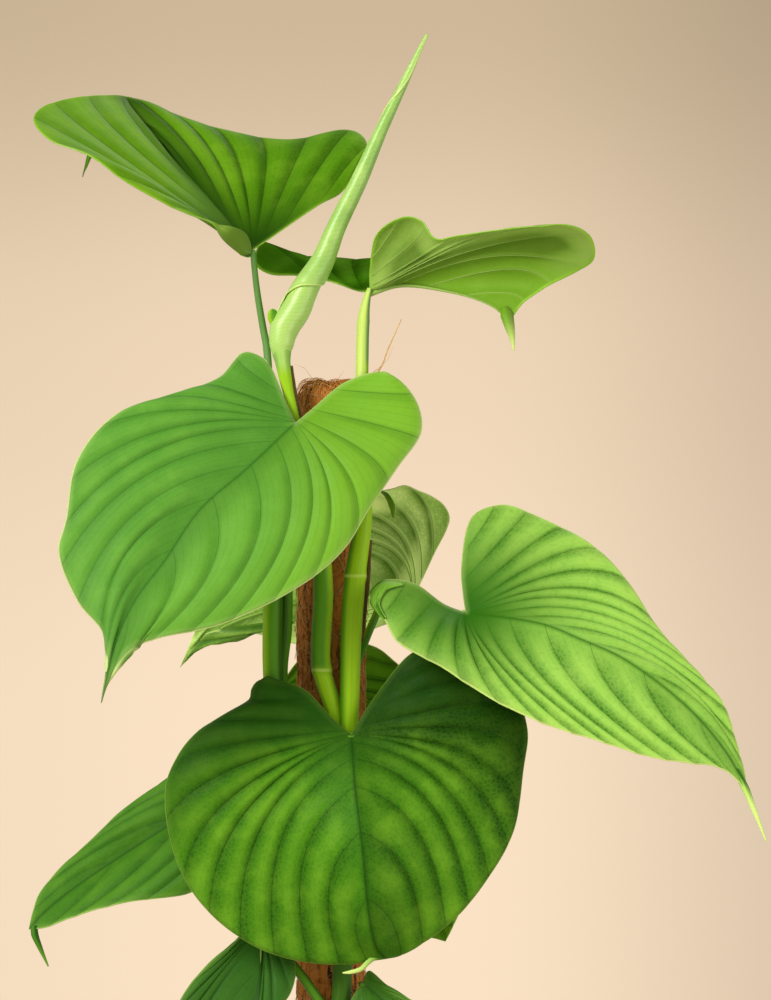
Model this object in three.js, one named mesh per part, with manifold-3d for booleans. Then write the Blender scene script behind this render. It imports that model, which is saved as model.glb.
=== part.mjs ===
// A climbing philodendron on a coir pole in a plain pot, in millimetres, +Z up.
// The origin is the middle of the pot's foot. The front of the plant looks along -Y.
import * as THREE from 'three';
import { mergeVertices } from 'three/addons/utils/BufferGeometryUtils.js';
import Module from 'manifold-3d';

const wasm = await Module();
wasm.setup();

// Driving dimensions
const EYE = { x: 38, distance: 2200, z: 650 };   // the leaves are drawn as seen from here
const GAP = 0.3;                                 // clearance where one piece is seated on another

const POT = { height: 185, footRadius: 72, rimRadius: 104, wall: 6, floor: 10, rimHeight: 30, rimStep: 4 };
const DRAIN = { radius: 6, fromAxis: 42, count: 4 };
const SOIL = { top: 168, dip: 3 };
const STAKE = { radius: 9, foot: 14, top: 722 };
const SLEEVE = {
  radius: 24.5, foot: 100, top: 732, bore: 9.4, boreTop: 724,
  dome: [[8, 0], [16, 1.5], [20, 4], [23.2, 8], [24.5, 13]],   // radii, and how far below the top
};

const BLADE = { thickness: 0.9, stepsPerPleat: 2, across: 5 };
const STALK = { sides: 8, stepLength: 14, fewestSteps: 10 };
const DRIP = { sides: 6, steps: 8 };
const SIDES = { pot: 40, sleeve: 28, stake: 20, drain: 16 };
const JOINT_DEPTH = 1.2;   // how far a stalk's end is sunk past its blade

const COLOURS = {
  leaf: 0x4c8a2c, darkLeaf: 0x2f6a1c, limeLeaf: 0x86bd44, underside: 0x74944c, rolled: 0x9bd070,
  stem: 0x5f8f2e, coir: 0x7c4522, stake: 0xb08a58, cataphyll: 0x6b4324, soil: 0x2e2119, pot: 0xb5683f,
};

// Leaves
// Each point is [across, depth, height]: where it is seen from EYE in the pole's plane, and how far
// it lies behind that plane. The margins run from the joint round a lobe to the tip, and lobes says
// how many points of each lie on the lobe's inner edge. faces is where the upper side looks. Some
// blades end in a drip, a narrow rolled tail.
const LEAVES = [
  {
    name: 'leaf_a', colour: 'leaf', faces: [0, -0.6, 0.8],
    pleats: 8, pleatDepth: 2.2, cup: [5, 5], lobes: [2, 4], forward: 0.7,
    joint: [-55, -20, 825], tip: [-174, 84, 876],
    midrib: [[-82, 2, 857], [-118, 34, 897], [-136, 52, 918], [-146, 62, 931], [-154, 74, 928],
      [-168, 84, 900]],
    left: [[-57, -28, 820], [-64, -40, 822], [-75, -54, 832], [-84, -62, 843], [-103, -74, 850],
      [-139, -84, 868], [-169, -84, 889], [-198, -70, 901], [-209, -40, 915], [-200, -8, 925],
      [-172, 30, 931.5], [-157, 52, 932], [-145, 64, 932], [-146, 74, 930], [-160, 84, 910]],
    right: [[-43, -24, 833], [-8, -14, 857], [7, -4, 865], [20, 16, 885], [25, 34, 899], [13, 50, 908],
      [-30, 62, 901], [-71, 70, 907], [-106, 72, 917.5], [-130, 68, 928], [-148, 66, 932], [-154, 76, 930],
      [-166, 86, 905]],
    stalk: [[-55, -19, 825], [-52, -14, 797], [-48, -11, 772], [-45, -12, 755], [-42.5, -24, 690],
      [-40.6, -35, 600], [-40.8, -36, 530], [-37, -35, 490], [-22, -34, 450], [6, -33, 406]],
    radii: [2.0, 2.8, 5.0, 7.0, 7.0, 5.2],
  },
  {
    name: 'leaf_b', colour: 'underside', faces: [0, 0.5, 0.8],
    pleats: 8, pleatDepth: 1.8, cup: [4, 5], lobes: [5, 2],
    joint: [27, -20, 796], tip: [125, -63, 775],
    midrib: [[48, -22, 801], [83, -36, 796], [106, -50, 789], [116, -57, 783.5]],
    left: [[20, -8, 796], [-1, 14, 803], [-23, 30, 807], [-43, 44, 808], [-53, 58, 815], [-48, 78, 830],
      [-37, 90, 824], [-14, 104, 819], [25, 116, 817], [70, 110, 817], [118, 84, 817], [150, 40, 816],
      [157, 0, 810], [143, -36, 797], [131, -54, 786]],
    right: [[27, -22, 812], [32, -34, 836], [51, -46, 848], [63, -52, 845], [72, -58, 833], [90, -70, 835],
      [116, -84, 838], [141, -92, 840], [167, -90, 841], [182, -78, 833], [184, -68, 818], [173, -64, 810],
      [148, -62, 798], [134, -62, 788]],
    stalk: [[27, -22, 798], [25.2, -23, 792], [22.8, -24, 778], [21.6, -27, 742], [21.5, -33, 690],
      [23, -36, 643], [17, -38, 597], [14, -39, 556], [13, -40, 510], [12, -38, 480], [10, -33, 450]],
    radii: [1.8, 4.4, 4.5, 4.5, 4.6, 4.8, 5.2, 6.0, 6.9, 7.6, 7.5, 7.1, 6.8, 6.6, 6.4, 6.2],
    drip: [[117, -59, 787], [123.5, -63, 777], [126.5, -65, 768], [128.5, -67, 754]],
    dripRadii: [2.6, 3, 1.9, 0.5],
  },
  {
    name: 'leaf_c', colour: 'leaf', faces: [0, -1, 0.4],
    pleats: 9, pleatDepth: 2.0, cup: [7, 7], lobes: [2, 3],
    joint: [-25, -60, 704], tip: [-161, -150, 508],
    midrib: [[-60, -80, 671], [-92, -92, 643], [-116, -104, 608], [-137, -116, 580], [-151, -130, 549]],
    left: [[-32, -48, 719], [-45, -35, 746], [-61, -32, 753], [-78, -38, 735], [-107, -50, 724],
      [-154, -75, 707], [-179, -90, 676], [-186, -98, 637], [-191, -102, 614], [-177, -112, 578],
      [-159, -122, 556], [-157, -134, 539]],
    right: [[-13, -50, 714], [11, -38, 733], [37, -35, 739], [57, -42, 723], [63, -52, 698], [46, -62, 672],
      [27, -76, 644], [8, -90, 614], [-25, -105, 587], [-78, -118, 562], [-123, -126, 552],
      [-141, -130, 544], [-158, -143, 519]],
    stalk: [[-25, -60, 703], [-29, -48, 690], [-30.5, -36, 650], [-31, -28, 600], [-32, -26, 560],
      [-35, -24, 527], [-29, -25, 497], [-18, -27, 462], [6, -33, 425]],
    radii: [2.6, 3.6, 4.6, 4.8, 4.6],
  },
  {
    name: 'leaf_d', colour: 'darkLeaf', faces: [0, -1, 0.2],
    pleats: 10, pleatDepth: 3.2, cup: [10, 10], lobes: [3, 4], startPower: 2.6, tipBulge: 0.2,
    joint: [14, -57, 486], tip: [38, -66, 329],
    midrib: [[17, -84, 447], [22, -100, 405], [26, -98, 363], [31, -83, 338]],
    left: [[1, -56, 497], [-20, -50, 518], [-43, -46, 524], [-51.5, -47, 523], [-55.5, -47, 517],
      [-56.5, -48, 511], [-63, -49, 505.5], [-77, -52, 497.5], [-94, -56, 486.5], [-107, -59, 471],
      [-116, -62, 447], [-108, -66, 397], [-86, -68, 362], [-50, -66, 336], [-17, -62, 327],
      [12, -62, 326], [28, -64, 328]],
    right: [[23, -56, 501], [34, -50, 517], [54, -45, 541], [66, -43, 546], [97, -43, 541], [125, -47, 520],
      [137, -52, 489], [134, -56, 460], [127, -62, 417], [108, -66, 383], [84, -68, 355], [49, -66, 332]],
    stalk: [[14, -56, 486], [15, -51, 470], [14, -48, 440], [8, -33, 398]],
    radii: [3.4, 4.6],
    drip: [[42, -66, 331], [31, -67, 330], [25.6, -67, 326.3], [21, -66, 321.8], [14, -64, 319.6],
      [8, -63, 319]],
    dripRadii: [1.2, 1.9, 1.8, 1.7, 1.4, 0.5],
  },
  {
    name: 'leaf_e', colour: 'limeLeaf', faces: [0, -0.8, 0.6],
    pleats: 11, pleatDepth: 2.8, cup: [6, 8], lobes: [3, 4],
    joint: [94, -50, 571], tip: [291, -127, 446],
    midrib: [[148, -78, 563], [173, -88, 553], [204, -98, 539], [248, -111, 506], [275, -119, 475],
      [285, -123, 458]],
    left: [[92, -46, 585], [91, -38, 603], [99, -20, 638], [120, -14, 646], [148, -16, 636],
      [182, -24, 618], [206, -38, 594], [231, -60, 556], [262, -86, 522], [276, -98, 504], [284, -109, 478],
      [289, -118, 458]],
    right: [[79, -50, 577], [57, -50, 592], [35, -52, 593], [27, -58, 581], [36, -68, 568], [46, -78, 550],
      [76, -92, 532], [112, -108, 509], [148, -120, 492], [182, -128, 481], [222, -134, 469],
      [248, -135, 465], [270, -133, 462], [282, -129, 455]],
    stalk: [[94, -48, 571], [72, -36, 548], [45, -31, 517], [30, -31, 478], [20, -32, 448], [9, -33, 418]],
    radii: [3.0, 4.6],
    drip: [[283, -122, 461], [290, -127, 448], [296, -133, 433], [304.5, -140, 411]],
    dripRadii: [2.2, 2.6, 1.8, 0.5],
  },
  {
    name: 'leaf_f', colour: 'underside', faces: [0, 0.7, 0.7],
    pleats: 8, pleatDepth: 2.2, cup: [5, 5], lobes: [2, 4],
    jointEnd: 0.62, lobeEndPower: 1, jointAbreast: 0.08, forward: 0.08,
    joint: [56.7, 50, 580], tip: [-105.7, 114, 533],
    midrib: [[27, 58, 585.6], [-8, 72, 581.4], [-48, 90, 571.6], [-81, 104, 557.6]],
    left: [[60, 53, 574], [58, 56, 566], [50, 60, 561], [43, 62, 563.5], [36, 64, 566], [28, 68, 561.5],
      [20, 72, 556.5], [6, 78, 551], [-22, 88, 548.5], [-48, 96, 554.8], [-67, 100, 557], [-83, 104, 558.3],
      [-90, 107, 555.5], [-96, 110, 548]],
    right: [[62, 49, 590.5], [73.5, 46, 615], [80.5, 42, 629], [82.6, 40, 638], [78.4, 38, 646.5],
      [69.3, 37, 652.8], [59, 37, 657], [51, 38, 660], [43, 40, 657.7], [33, 43, 655.6], [6, 52, 650],
      [-22, 62, 636], [-50, 76, 615], [-74, 90, 590.5], [-92, 102, 566], [-100, 109, 547]],
    stalk: [[56.7, 49, 580], [44, 38, 578], [34, 18, 574], [30, -4, 566], [24, -20, 552], [18, -25.5, 535],
      [15, -25.5, 500], [11, -28, 460], [7, -33, 430]],
    radii: [2.4, 3.0, 3.2],
  },
  {
    name: 'leaf_h', colour: 'leaf', faces: [-0.3, -0.7, 0.8],
    pleats: 8, pleatDepth: 1.8, cup: [5, 5], lobes: [1, 3],
    joint: [-40, 0, 471], tip: [-211.5, -47, 349.5],
    midrib: [[-90, -4, 437], [-140, -16, 405], [-180, -30, 378], [-201, -41, 361]],
    left: [[-39, -8, 458], [-38, -20, 438], [-46, -34, 412], [-60, -42, 395], [-80, -47, 383],
      [-100, -50, 374], [-138, -54, 368.5], [-162, -54, 363], [-180, -52, 357.5], [-200, -49, 350.5]],
    right: [[-34, 16, 490], [-29, 34, 515], [-34, 42, 526], [-48, 46, 519], [-62, 44, 504], [-90, 36, 475],
      [-115, 26, 451], [-149, 8, 429], [-171, -6, 408], [-191, -18, 390], [-204, -28, 374],
      [-209, -38, 360.5]],
    stalk: [[-40, -1, 470], [-36, -14, 452], [-30, -30, 425], [-12, -33, 395], [6, -33, 368]],
    radii: [2.8, 4.4],
    drip: [[-208, -47, 352], [-207.5, -48, 346], [-204, -49, 337], [-198, -51, 323.5]],
    dripRadii: [2.4, 2.6, 1.8, 0.5],
  },
  {
    name: 'leaf_i', colour: 'darkLeaf', faces: [-0.3, -1, 0.3],
    pleats: 7, pleatDepth: 1.8, cup: [4, 4], lobes: [2, 2],
    joint: [-48, -30, 352], tip: [-84, -92, 165],
    midrib: [[-49, -44, 325], [-55, -58, 290], [-64, -72, 250], [-75, -86, 205]],
    left: [[-40, -32, 352], [-31, -36, 344], [-25, -44, 322], [-28, -50, 306], [-40, -58, 288],
      [-52, -68, 262], [-66, -80, 225], [-77, -88, 192]],
    right: [[-54, -32, 352], [-66, -40, 343], [-88, -52, 324], [-106, -62, 300], [-117, -72, 265],
      [-114, -80, 230], [-99, -86, 202], [-86, -90, 184]],
    stalk: [[-48, -31, 352], [-42, -32, 344], [-20, -34, 316], [5, -34, 280]],
    radii: [2.6, 4.0],
  },
  {
    name: 'leaf_j', colour: 'leaf', faces: [0.3, -1, 0.6],
    pleats: 7, pleatDepth: 1.8, cup: [4, 4], lobes: [1, 2],
    joint: [22, -42, 312], tip: [156, -96, 172],
    midrib: [[55, -58, 283], [90, -72, 252], [122, -84, 220], [143, -91, 195]],
    left: [[26, -38, 320], [40, -44, 309], [55, -50, 300], [85, -58, 285], [115, -66, 262], [138, -77, 230],
      [148, -86, 203]],
    right: [[16, -44, 304], [8, -50, 285], [10, -60, 262], [28, -72, 240], [62, -84, 222], [100, -92, 207],
      [132, -96, 192]],
    stalk: [[22, -41, 312], [23, -37, 300], [21, -35, 270], [6, -34, 235]],
    radii: [2.8, 3.8],
  },
  {
    name: 'leaf_l', colour: 'underside', faces: [0, 1, 0.2],
    pleats: 9, pleatDepth: 2.2, cup: [6, 6], lobes: [3, 3],
    joint: [6, 45, 517], tip: [80, 34, 341],
    midrib: [[20, 54, 475], [41, 54, 419], [62, 47, 377], [76, 38, 351]],
    left: [[10, 48, 538], [15, 50, 550], [33, 54, 546], [46, 54, 536], [76, 50, 510], [101, 44, 468],
      [104, 40, 419], [96, 38, 377], [85, 35, 351]],
    right: [[-1, 48, 534], [-9, 52, 545], [-22, 54, 538], [-36, 56, 520], [-60, 54, 486], [-76, 52, 440],
      [-66, 48, 391], [-22, 44, 355], [35, 38, 343], [68, 35, 344]],
    stalk: [[6, 44, 517], [14, 36, 500], [30, 22, 470], [30, -14, 430], [8, -33, 385]],
    radii: [2.8, 4.2],
  },
];

// Veins start along the lobe's inner edge and the midrib, bulge outwards and sweep to the outer margin.
// A leaf may have values of its own.
const VEINS = {
  lobeShare: 0.45,         // share of the veins that belong to the lobe
  lobePower: 3,            // crowds the lobe's veins towards the joint
  startPower: 2,           // spacing along the midrib
  jointEnd: 0.52,          // where on the outer margin the joint's own vein ends
  endPower: 1.3,           // spacing along the outer margin
  lobeEndPower: 1.25,      // the same round the lobe
  fullLength: 60,          // shorter veins than this stand in shallower pleats
  jointAbreast: 0.22,      // the outer margin's point abreast of the joint
  forward: 0.45,           // how far a vein's bulge lies ahead of its start
  jointBulge: 0.85,        // how far out it bulges at the joint
  tipBulge: 0.5,           // and at the tip
  tipFade: [0.84, 0.985],  // the pleats run out between these shares of the veins
};

// New leaf, still rolled, with its stalk
const ROLLED = {
  axis: [[67, -12, 976], [52, -14, 944], [35, -17, 909], [20, -20, 875], [3, -24, 840], [-6, -26, 818],
    [-18, -29, 798], [-25, -30, 783], [-33, -32, 770], [-35, -34, 758], [-34, -36, 747], [-30, -38, 725],
    [-25, -40, 704], [-16, -38, 660], [-7.5, -35, 615], [-5.6, -34, 585], [-7, -33, 534], [1.5, -33, 503],
    [7, -33, 466]],
  radii: [0.7, 2.6, 4.0, 5.4, 6.1, 7.3, 8.9, 9.8, 9.7, 7.9, 5.3, 3.8, 3.6, 5.0, 6.4, 6.8, 6.6, 6.0, 5.6],
  overlap: 0.16, seamTurns: 1.5, sides: 14, steps: 52,
};

const STEM = {
  axis: [[4, -36, 150], [5, -35, 230], [7, -34, 300], [9, -33, 380], [8, -33, 440], [7, -33, 463]],
  radii: [8, 7.2, 6.8, 6.6, 6.2, 5.6], sides: 12, steps: 24,
};

// Brown fibrous remains of the cataphylls, thin curved strips beside the stalks
const CATAPHYLLS = [
  {
    name: 'cataphyll_high',
    axis: [[-27.6, -37, 744], [-25.4, -38, 725], [-20.8, -40, 704], [-16, -39, 682]],
  },
  {
    name: 'cataphyll_middle',
    axis: [[28, -37, 622], [26.3, -37.5, 604], [24.8, -38, 586], [22, -38.5, 550]],
  },
  {
    name: 'cataphyll_low',
    axis: [[-2.2, -36, 262], [-3.1, -37, 240], [-3.7, -37, 215], [-4.2, -38, 188]],
  },
];
const STRIP = { halfThickness: 0.6, halfWidth: 1.5, sides: 8, steps: 10 };

// Helpers

// Carries a point drawn in the pole's plane to its depth along the line of sight.
function seen([x, depth, z]) {
  const grow = (EYE.distance + depth) / EYE.distance;
  return new THREE.Vector3(EYE.x + (x - EYE.x) * grow, depth, EYE.z + (z - EYE.z) * grow);
}

function smoothCurve(points) {
  return new THREE.CatmullRomCurve3(points.map(seen), false, 'centripetal');
}

function onlyPositions(geometry) {
  for (const attribute of Object.keys(geometry.attributes)) {
    if (attribute !== 'position') geometry.deleteAttribute(attribute);
  }
  return mergeVertices(geometry, 1e-3);
}

function solidOf(geometry) {
  const merged = onlyPositions(geometry);
  return new wasm.Manifold(new wasm.Mesh({
    numProp: 3,
    vertProperties: new Float32Array(merged.attributes.position.array),
    triVerts: new Uint32Array(merged.index.array),
  }));
}

// The same, with the faces turned over where they look inwards.
function outwardSolid(geometry) {
  const solid = solidOf(geometry);
  if (solid.volume() > 0) return solid;
  geometry.index.array.reverse();
  return solidOf(geometry);
}

function geometryOf(solid) {
  const mesh = solid.getMesh();
  const geometry = new THREE.BufferGeometry();
  geometry.setAttribute('position', new THREE.BufferAttribute(mesh.vertProperties, 3));
  geometry.setIndex(new THREE.BufferAttribute(mesh.triVerts, 1));
  geometry.computeVertexNormals();
  return geometry;
}

// Keeps the largest of the pieces that a cut leaves.
function largestPiece(solid) {
  return solid.decompose().reduce((best, piece) => (piece.volume() > best.volume() ? piece : best));
}

function blend(values, u) {
  const place = u * (values.length - 1);
  const low = Math.min(Math.floor(place), values.length - 2);
  return THREE.MathUtils.lerp(values[low], values[low + 1], place - low);
}

// A closed cylinder bent along a curve. reach(u, angle) gives the distance from the axis to the skin.
function bentCylinder(curve, reach, sides, steps) {
  const geometry = new THREE.CylinderGeometry(1, 1, 1, sides, steps, false);
  const frames = curve.computeFrenetFrames(steps, false);
  const position = geometry.attributes.position;
  const point = new THREE.Vector3();
  for (let i = 0; i < position.count; i += 1) {
    const u = 0.5 - position.getY(i);
    const step = Math.round(u * steps);
    const x = position.getX(i);
    const z = position.getZ(i);
    const out = Math.hypot(x, z) < 0.5 ? 0 : reach(u, Math.atan2(z, x));
    point.copy(curve.getPointAt(u));
    point.addScaledVector(frames.normals[step], out * x);
    point.addScaledVector(frames.binormals[step], out * z);
    position.setXYZ(i, point.x, point.y, point.z);
  }
  return outwardSolid(geometry);
}

// The narrow rolled tail that some blades end in.
const dripSolid = (points, radii) => {
  const curve = smoothCurve(points);
  const { sides, steps } = DRIP;
  return bentCylinder(curve, (u) => blend(radii, curve.getUtoTmapping(u)), sides, steps);
};

function stalkSolid(points, radii, grow = 0) {
  const past = points[0].map((value, k) => value + JOINT_DEPTH * Math.sign(value - points[1][k]));
  const curve = smoothCurve([past, ...points.slice(1)]);
  const steps = Math.max(STALK.fewestSteps, Math.round(curve.getLength() / STALK.stepLength));
  return bentCylinder(curve, (u) => blend(radii, u) + grow, STALK.sides, steps);
}

// One half's margin, and the share of its length that lies on the lobe's inner edge.
function marginOf(leaf, side, lobePoints) {
  const points = [leaf.joint, ...leaf[side], leaf.tip];
  const curve = smoothCurve(points);
  const perSpan = 24;
  curve.arcLengthDivisions = perSpan * (points.length - 1);
  const lengths = curve.getLengths();
  return { curve, turn: lengths[perSpan * lobePoints] / lengths[lengths.length - 1] };
}

// The vein number p of a half, p running from 0 at the lobe's end to pleats at the tip.
function veinOf(midrib, margin, p, leaf) {
  const { pleats, startPower, tipBulge, jointEnd, lobeEndPower, jointAbreast, forward } = {
    ...VEINS, ...leaf,
  };
  const lobePleats = Math.round(pleats * VEINS.lobeShare);
  const back = Math.max(0, (lobePleats - p) / lobePleats) ** VEINS.lobePower;
  const w = Math.max(0, (p - lobePleats) / (pleats - lobePleats));
  const along = w ** startPower;
  const start = back > 0 ? margin.curve.getPointAt(margin.turn * back) : midrib.getPointAt(along);
  const abreast = jointAbreast * (1 - back) + (1 - jointAbreast) * along;
  const swept = 1 - (1 - w) ** VEINS.endPower;
  const reach = p < lobePleats ? jointEnd * (p / lobePleats) ** lobeEndPower
    : jointEnd + (1 - jointEnd) * swept;
  const outer = (share) => margin.curve.getPointAt(Math.min(1, margin.turn + (1 - margin.turn) * share));
  const bulge = THREE.MathUtils.lerp(VEINS.jointBulge, tipBulge, w);
  const bend = start.clone().lerp(outer(abreast + (reach - abreast) * forward), bulge);
  return new THREE.QuadraticBezierCurve3(start, bend, outer(reach));
}

// How far a blade's skin stands off its plain surface: the broad cup and the pleats between veins.
function relief(p, s, veinLength, { pleats, pleatDepth }, cup) {
  const q = p / pleats;
  const full = Math.min(1, q / 0.12, veinLength / VEINS.fullLength);
  const fade = full * (1 - THREE.MathUtils.smoothstep(q, ...VEINS.tipFade));
  const across = Math.sin(Math.PI * 0.93 * s);
  const crest = Math.abs(Math.sin(Math.PI * p)) ** 0.8;
  return cup * across * Math.sin(Math.PI * (0.1 + 0.9 * q)) + pleatDepth * crest * fade * across;
}

function bladeSolid(leaf) {
  const midrib = smoothCurve([leaf.joint, ...leaf.midrib, leaf.tip]);
  const corners = new Map();
  const points = [];
  const lifts = [];
  const faces = [];
  // A corner that two triangles share is kept once.
  const corner = (point, lift) => {
    const key = point.toArray().map((value) => Math.round(value * 1e3)).join(',');
    if (!corners.has(key)) {
      corners.set(key, lifts.length);
      points.push(...point.toArray());
      lifts.push(lift);
    }
    return corners.get(key);
  };
  for (const [number, side] of ['left', 'right'].entries()) {
    const margin = marginOf(leaf, side, leaf.lobes[number]);
    const grid = [];
    for (let i = 0; i <= leaf.pleats * BLADE.stepsPerPleat; i += 1) {
      const p = i / BLADE.stepsPerPleat;
      const vein = veinOf(midrib, margin, p, leaf);
      const length = vein.v0.distanceTo(vein.v2);
      grid.push(Array.from({ length: BLADE.across + 1 }, (_, j) => {
        const s = j / BLADE.across;
        return corner(vein.getPoint(s), relief(p, s, length, leaf, leaf.cup[number]));
      }));
    }
    for (let i = 0; i + 1 < grid.length; i += 1) {
      for (let j = 0; j < BLADE.across; j += 1) {
        const [a, b, c, d] = [grid[i][j], grid[i + 1][j], grid[i + 1][j + 1], grid[i][j + 1]];
        for (const [first, second, third] of [[a, b, c], [a, c, d]]) {
          if (first === second || second === third || first === third) continue;
          faces.push(number === 0 ? [first, second, third] : [first, third, second]);
        }
      }
    }
  }
  const plain = new THREE.BufferGeometry();
  plain.setAttribute('position', new THREE.Float32BufferAttribute(points, 3));
  plain.setIndex(faces.flat());
  plain.computeVertexNormals();
  const normals = plain.attributes.normal;
  const mean = new THREE.Vector3();
  lifts.forEach((_, k) => mean.add(new THREE.Vector3().fromBufferAttribute(normals, k)));
  const up = Math.sign(mean.dot(new THREE.Vector3(...leaf.faces)));
  const skin = [];
  const half = BLADE.thickness / 2;
  for (const offset of [half, -half]) {
    lifts.forEach((lift, k) => {
      const point = new THREE.Vector3(...points.slice(3 * k, 3 * k + 3));
      const normal = new THREE.Vector3().fromBufferAttribute(normals, k);
      skin.push(...point.addScaledVector(normal, up * lift + offset).toArray());
    });
  }
  // The rim joins the two skins along each edge that only one triangle has.
  const under = lifts.length;
  const edges = new Map();
  const closed = [];
  for (const [a, b, c] of faces) {
    closed.push(a, b, c, a + under, c + under, b + under);
    for (const [from, to] of [[a, b], [b, c], [c, a]]) {
      if (!edges.delete(`${to},${from}`)) edges.set(`${from},${to}`, [from, to]);
    }
  }
  for (const [from, to] of edges.values()) {
    closed.push(to, from, to + under, from, from + under, to + under);
  }
  const blade = new THREE.BufferGeometry();
  blade.setAttribute('position', new THREE.Float32BufferAttribute(skin, 3));
  blade.setIndex(closed);
  return solidOf(blade);
}

const plant = new THREE.Group();

function place(name, solid, colour, roughness) {
  const material = new THREE.MeshStandardMaterial({ color: COLOURS[colour], roughness, metalness: 0 });
  const mesh = new THREE.Mesh(geometryOf(solid), material);
  mesh.name = name;
  plant.add(mesh);
}

// Pot, soil and pole
function lathe(profile, sides) {
  const points = profile.map(([r, z]) => new THREE.Vector2(r, z));
  const geometry = new THREE.LatheGeometry(points, sides);
  geometry.rotateX(Math.PI / 2);
  return outwardSolid(geometry);
}

const innerRadius = (z) => THREE.MathUtils.lerp(POT.footRadius, POT.rimRadius - POT.rimStep, z / POT.height)
  - POT.wall;

function makePot() {
  const { height, footRadius, rimRadius, rimHeight, rimStep, floor } = POT;
  const underRim = height - rimHeight;
  const wallRadius = THREE.MathUtils.lerp(footRadius, rimRadius - rimStep, underRim / height);
  let pot = lathe([
    [0, 0], [footRadius - 2, 0], [footRadius, 2], [wallRadius, underRim], [rimRadius - 1, underRim],
    [rimRadius, underRim + 1], [rimRadius, height - 2], [rimRadius - 2, height],
    [innerRadius(height) + 1, height], [innerRadius(height), height - 1], [innerRadius(floor), floor],
    [0, floor],
  ], SIDES.pot);
  for (let i = 0; i < DRAIN.count; i += 1) {
    const angle = (i + 0.5) * (2 * Math.PI / DRAIN.count);
    const hole = new THREE.CylinderGeometry(DRAIN.radius, DRAIN.radius, 4 * floor, SIDES.drain);
    hole.rotateX(Math.PI / 2);
    hole.translate(DRAIN.fromAxis * Math.cos(angle), DRAIN.fromAxis * Math.sin(angle), 0);
    pot = pot.subtract(solidOf(hole));
  }
  return pot;
}

function makeSoil() {
  const bottom = POT.floor + GAP;
  return lathe([
    [0, bottom], [innerRadius(bottom) - GAP, bottom], [innerRadius(SOIL.top) - GAP, SOIL.top],
    [innerRadius(SOIL.top) - 12, SOIL.top - SOIL.dip], [0, SOIL.top],
  ], SIDES.pot);
}

const rod = (radius, foot, top, sides) => lathe([[0, foot], [radius, foot], [radius, top], [0, top]], sides);

function makeSleeve() {
  const { radius, foot, top, bore, boreTop, dome } = SLEEVE;
  const rounded = dome.map(([r, below]) => [r, top - below]);
  return lathe([
    [0, top], ...rounded, [radius, foot], [bore, foot], [bore, boreTop], [0, boreTop],
  ].reverse(), SIDES.sleeve);
}

// A round tube with one radius for each point of its axis.
function tube({ axis, radii, sides, steps }, grow = 0) {
  const curve = smoothCurve(axis);
  return bentCylinder(curve, (u) => blend(radii, curve.getUtoTmapping(u)) + grow, sides, steps);
}

const sleeve = makeSleeve();
const stake = rod(STAKE.radius, STAKE.foot, STAKE.top, SIDES.stake);
const stem = tube(STEM);
const stemRoom = tube(STEM, GAP);
const soil = makeSoil()
  .subtract(rod(STAKE.radius + GAP, STAKE.foot - GAP, POT.height, SIDES.stake))
  .subtract(rod(SLEEVE.radius + GAP, SLEEVE.foot - GAP, POT.height, SIDES.sleeve))
  .subtract(stemRoom);

place('pot', makePot(), 'pot', 0.75);
place('soil', soil, 'soil', 0.95);
place('pole_stake', stake, 'stake', 0.8);
place('coir_sleeve', sleeve, 'coir', 0.95);
place('stem', stem, 'stem', 0.5);

// Rolled leaf: the skin winds outwards by one turn, so its free edge stands proud along a slow spiral.
function makeRolledLeaf(grow = 0) {
  const curve = smoothCurve(ROLLED.axis);
  const reach = (u, angle) => {
    const turn = (angle / (2 * Math.PI) + ROLLED.seamTurns * u + 4) % 1;
    const leafPart = THREE.MathUtils.smoothstep(0.5 - u, 0, 0.06);
    const plain = blend(ROLLED.radii, curve.getUtoTmapping(u));
    return plain * (1 + ROLLED.overlap * (turn - 0.5) * leafPart) + grow;
  };
  return bentCylinder(curve, reach, ROLLED.sides, ROLLED.steps);
}

const taken = [stemRoom];   // the rooms that later pieces keep clear of
place('rolled_leaf', largestPiece(makeRolledLeaf().subtract(stemRoom)), 'rolled', 0.4);
taken.push(makeRolledLeaf(GAP));

for (const leaf of LEAVES) {
  let solid = bladeSolid(leaf).add(stalkSolid(leaf.stalk, leaf.radii));
  if (leaf.drip) solid = solid.add(dripSolid(leaf.drip, leaf.dripRadii));
  for (const room of taken) solid = solid.subtract(room);
  place(leaf.name, largestPiece(solid), leaf.colour, 0.45);
  taken.push(stalkSolid(leaf.stalk, leaf.radii, GAP));
}

for (const { name, axis } of CATAPHYLLS) {
  const flat = (u, angle) => {
    const narrow = Math.sin(Math.PI * Math.min(0.97, 0.06 + u)) ** 0.5;
    const { halfThickness, halfWidth } = STRIP;
    return 1 / Math.hypot(Math.cos(angle) / (halfWidth * narrow), Math.sin(angle) / halfThickness);
  };
  let strip = bentCylinder(smoothCurve(axis), flat, STRIP.sides, STRIP.steps);
  for (const room of taken) strip = strip.subtract(room);
  place(name, largestPiece(strip), 'cataphyll', 0.85);
}

export default plant;
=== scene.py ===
"""A climbing philodendron on a coir pole in a plain terracotta pot.

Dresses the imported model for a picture: pleated leaves, a rolled new leaf, stalks, fibres, soil and pot.
"""

import math
import random

import bmesh
import bpy
import numpy as np
from mathutils import Matrix, Vector


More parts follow.
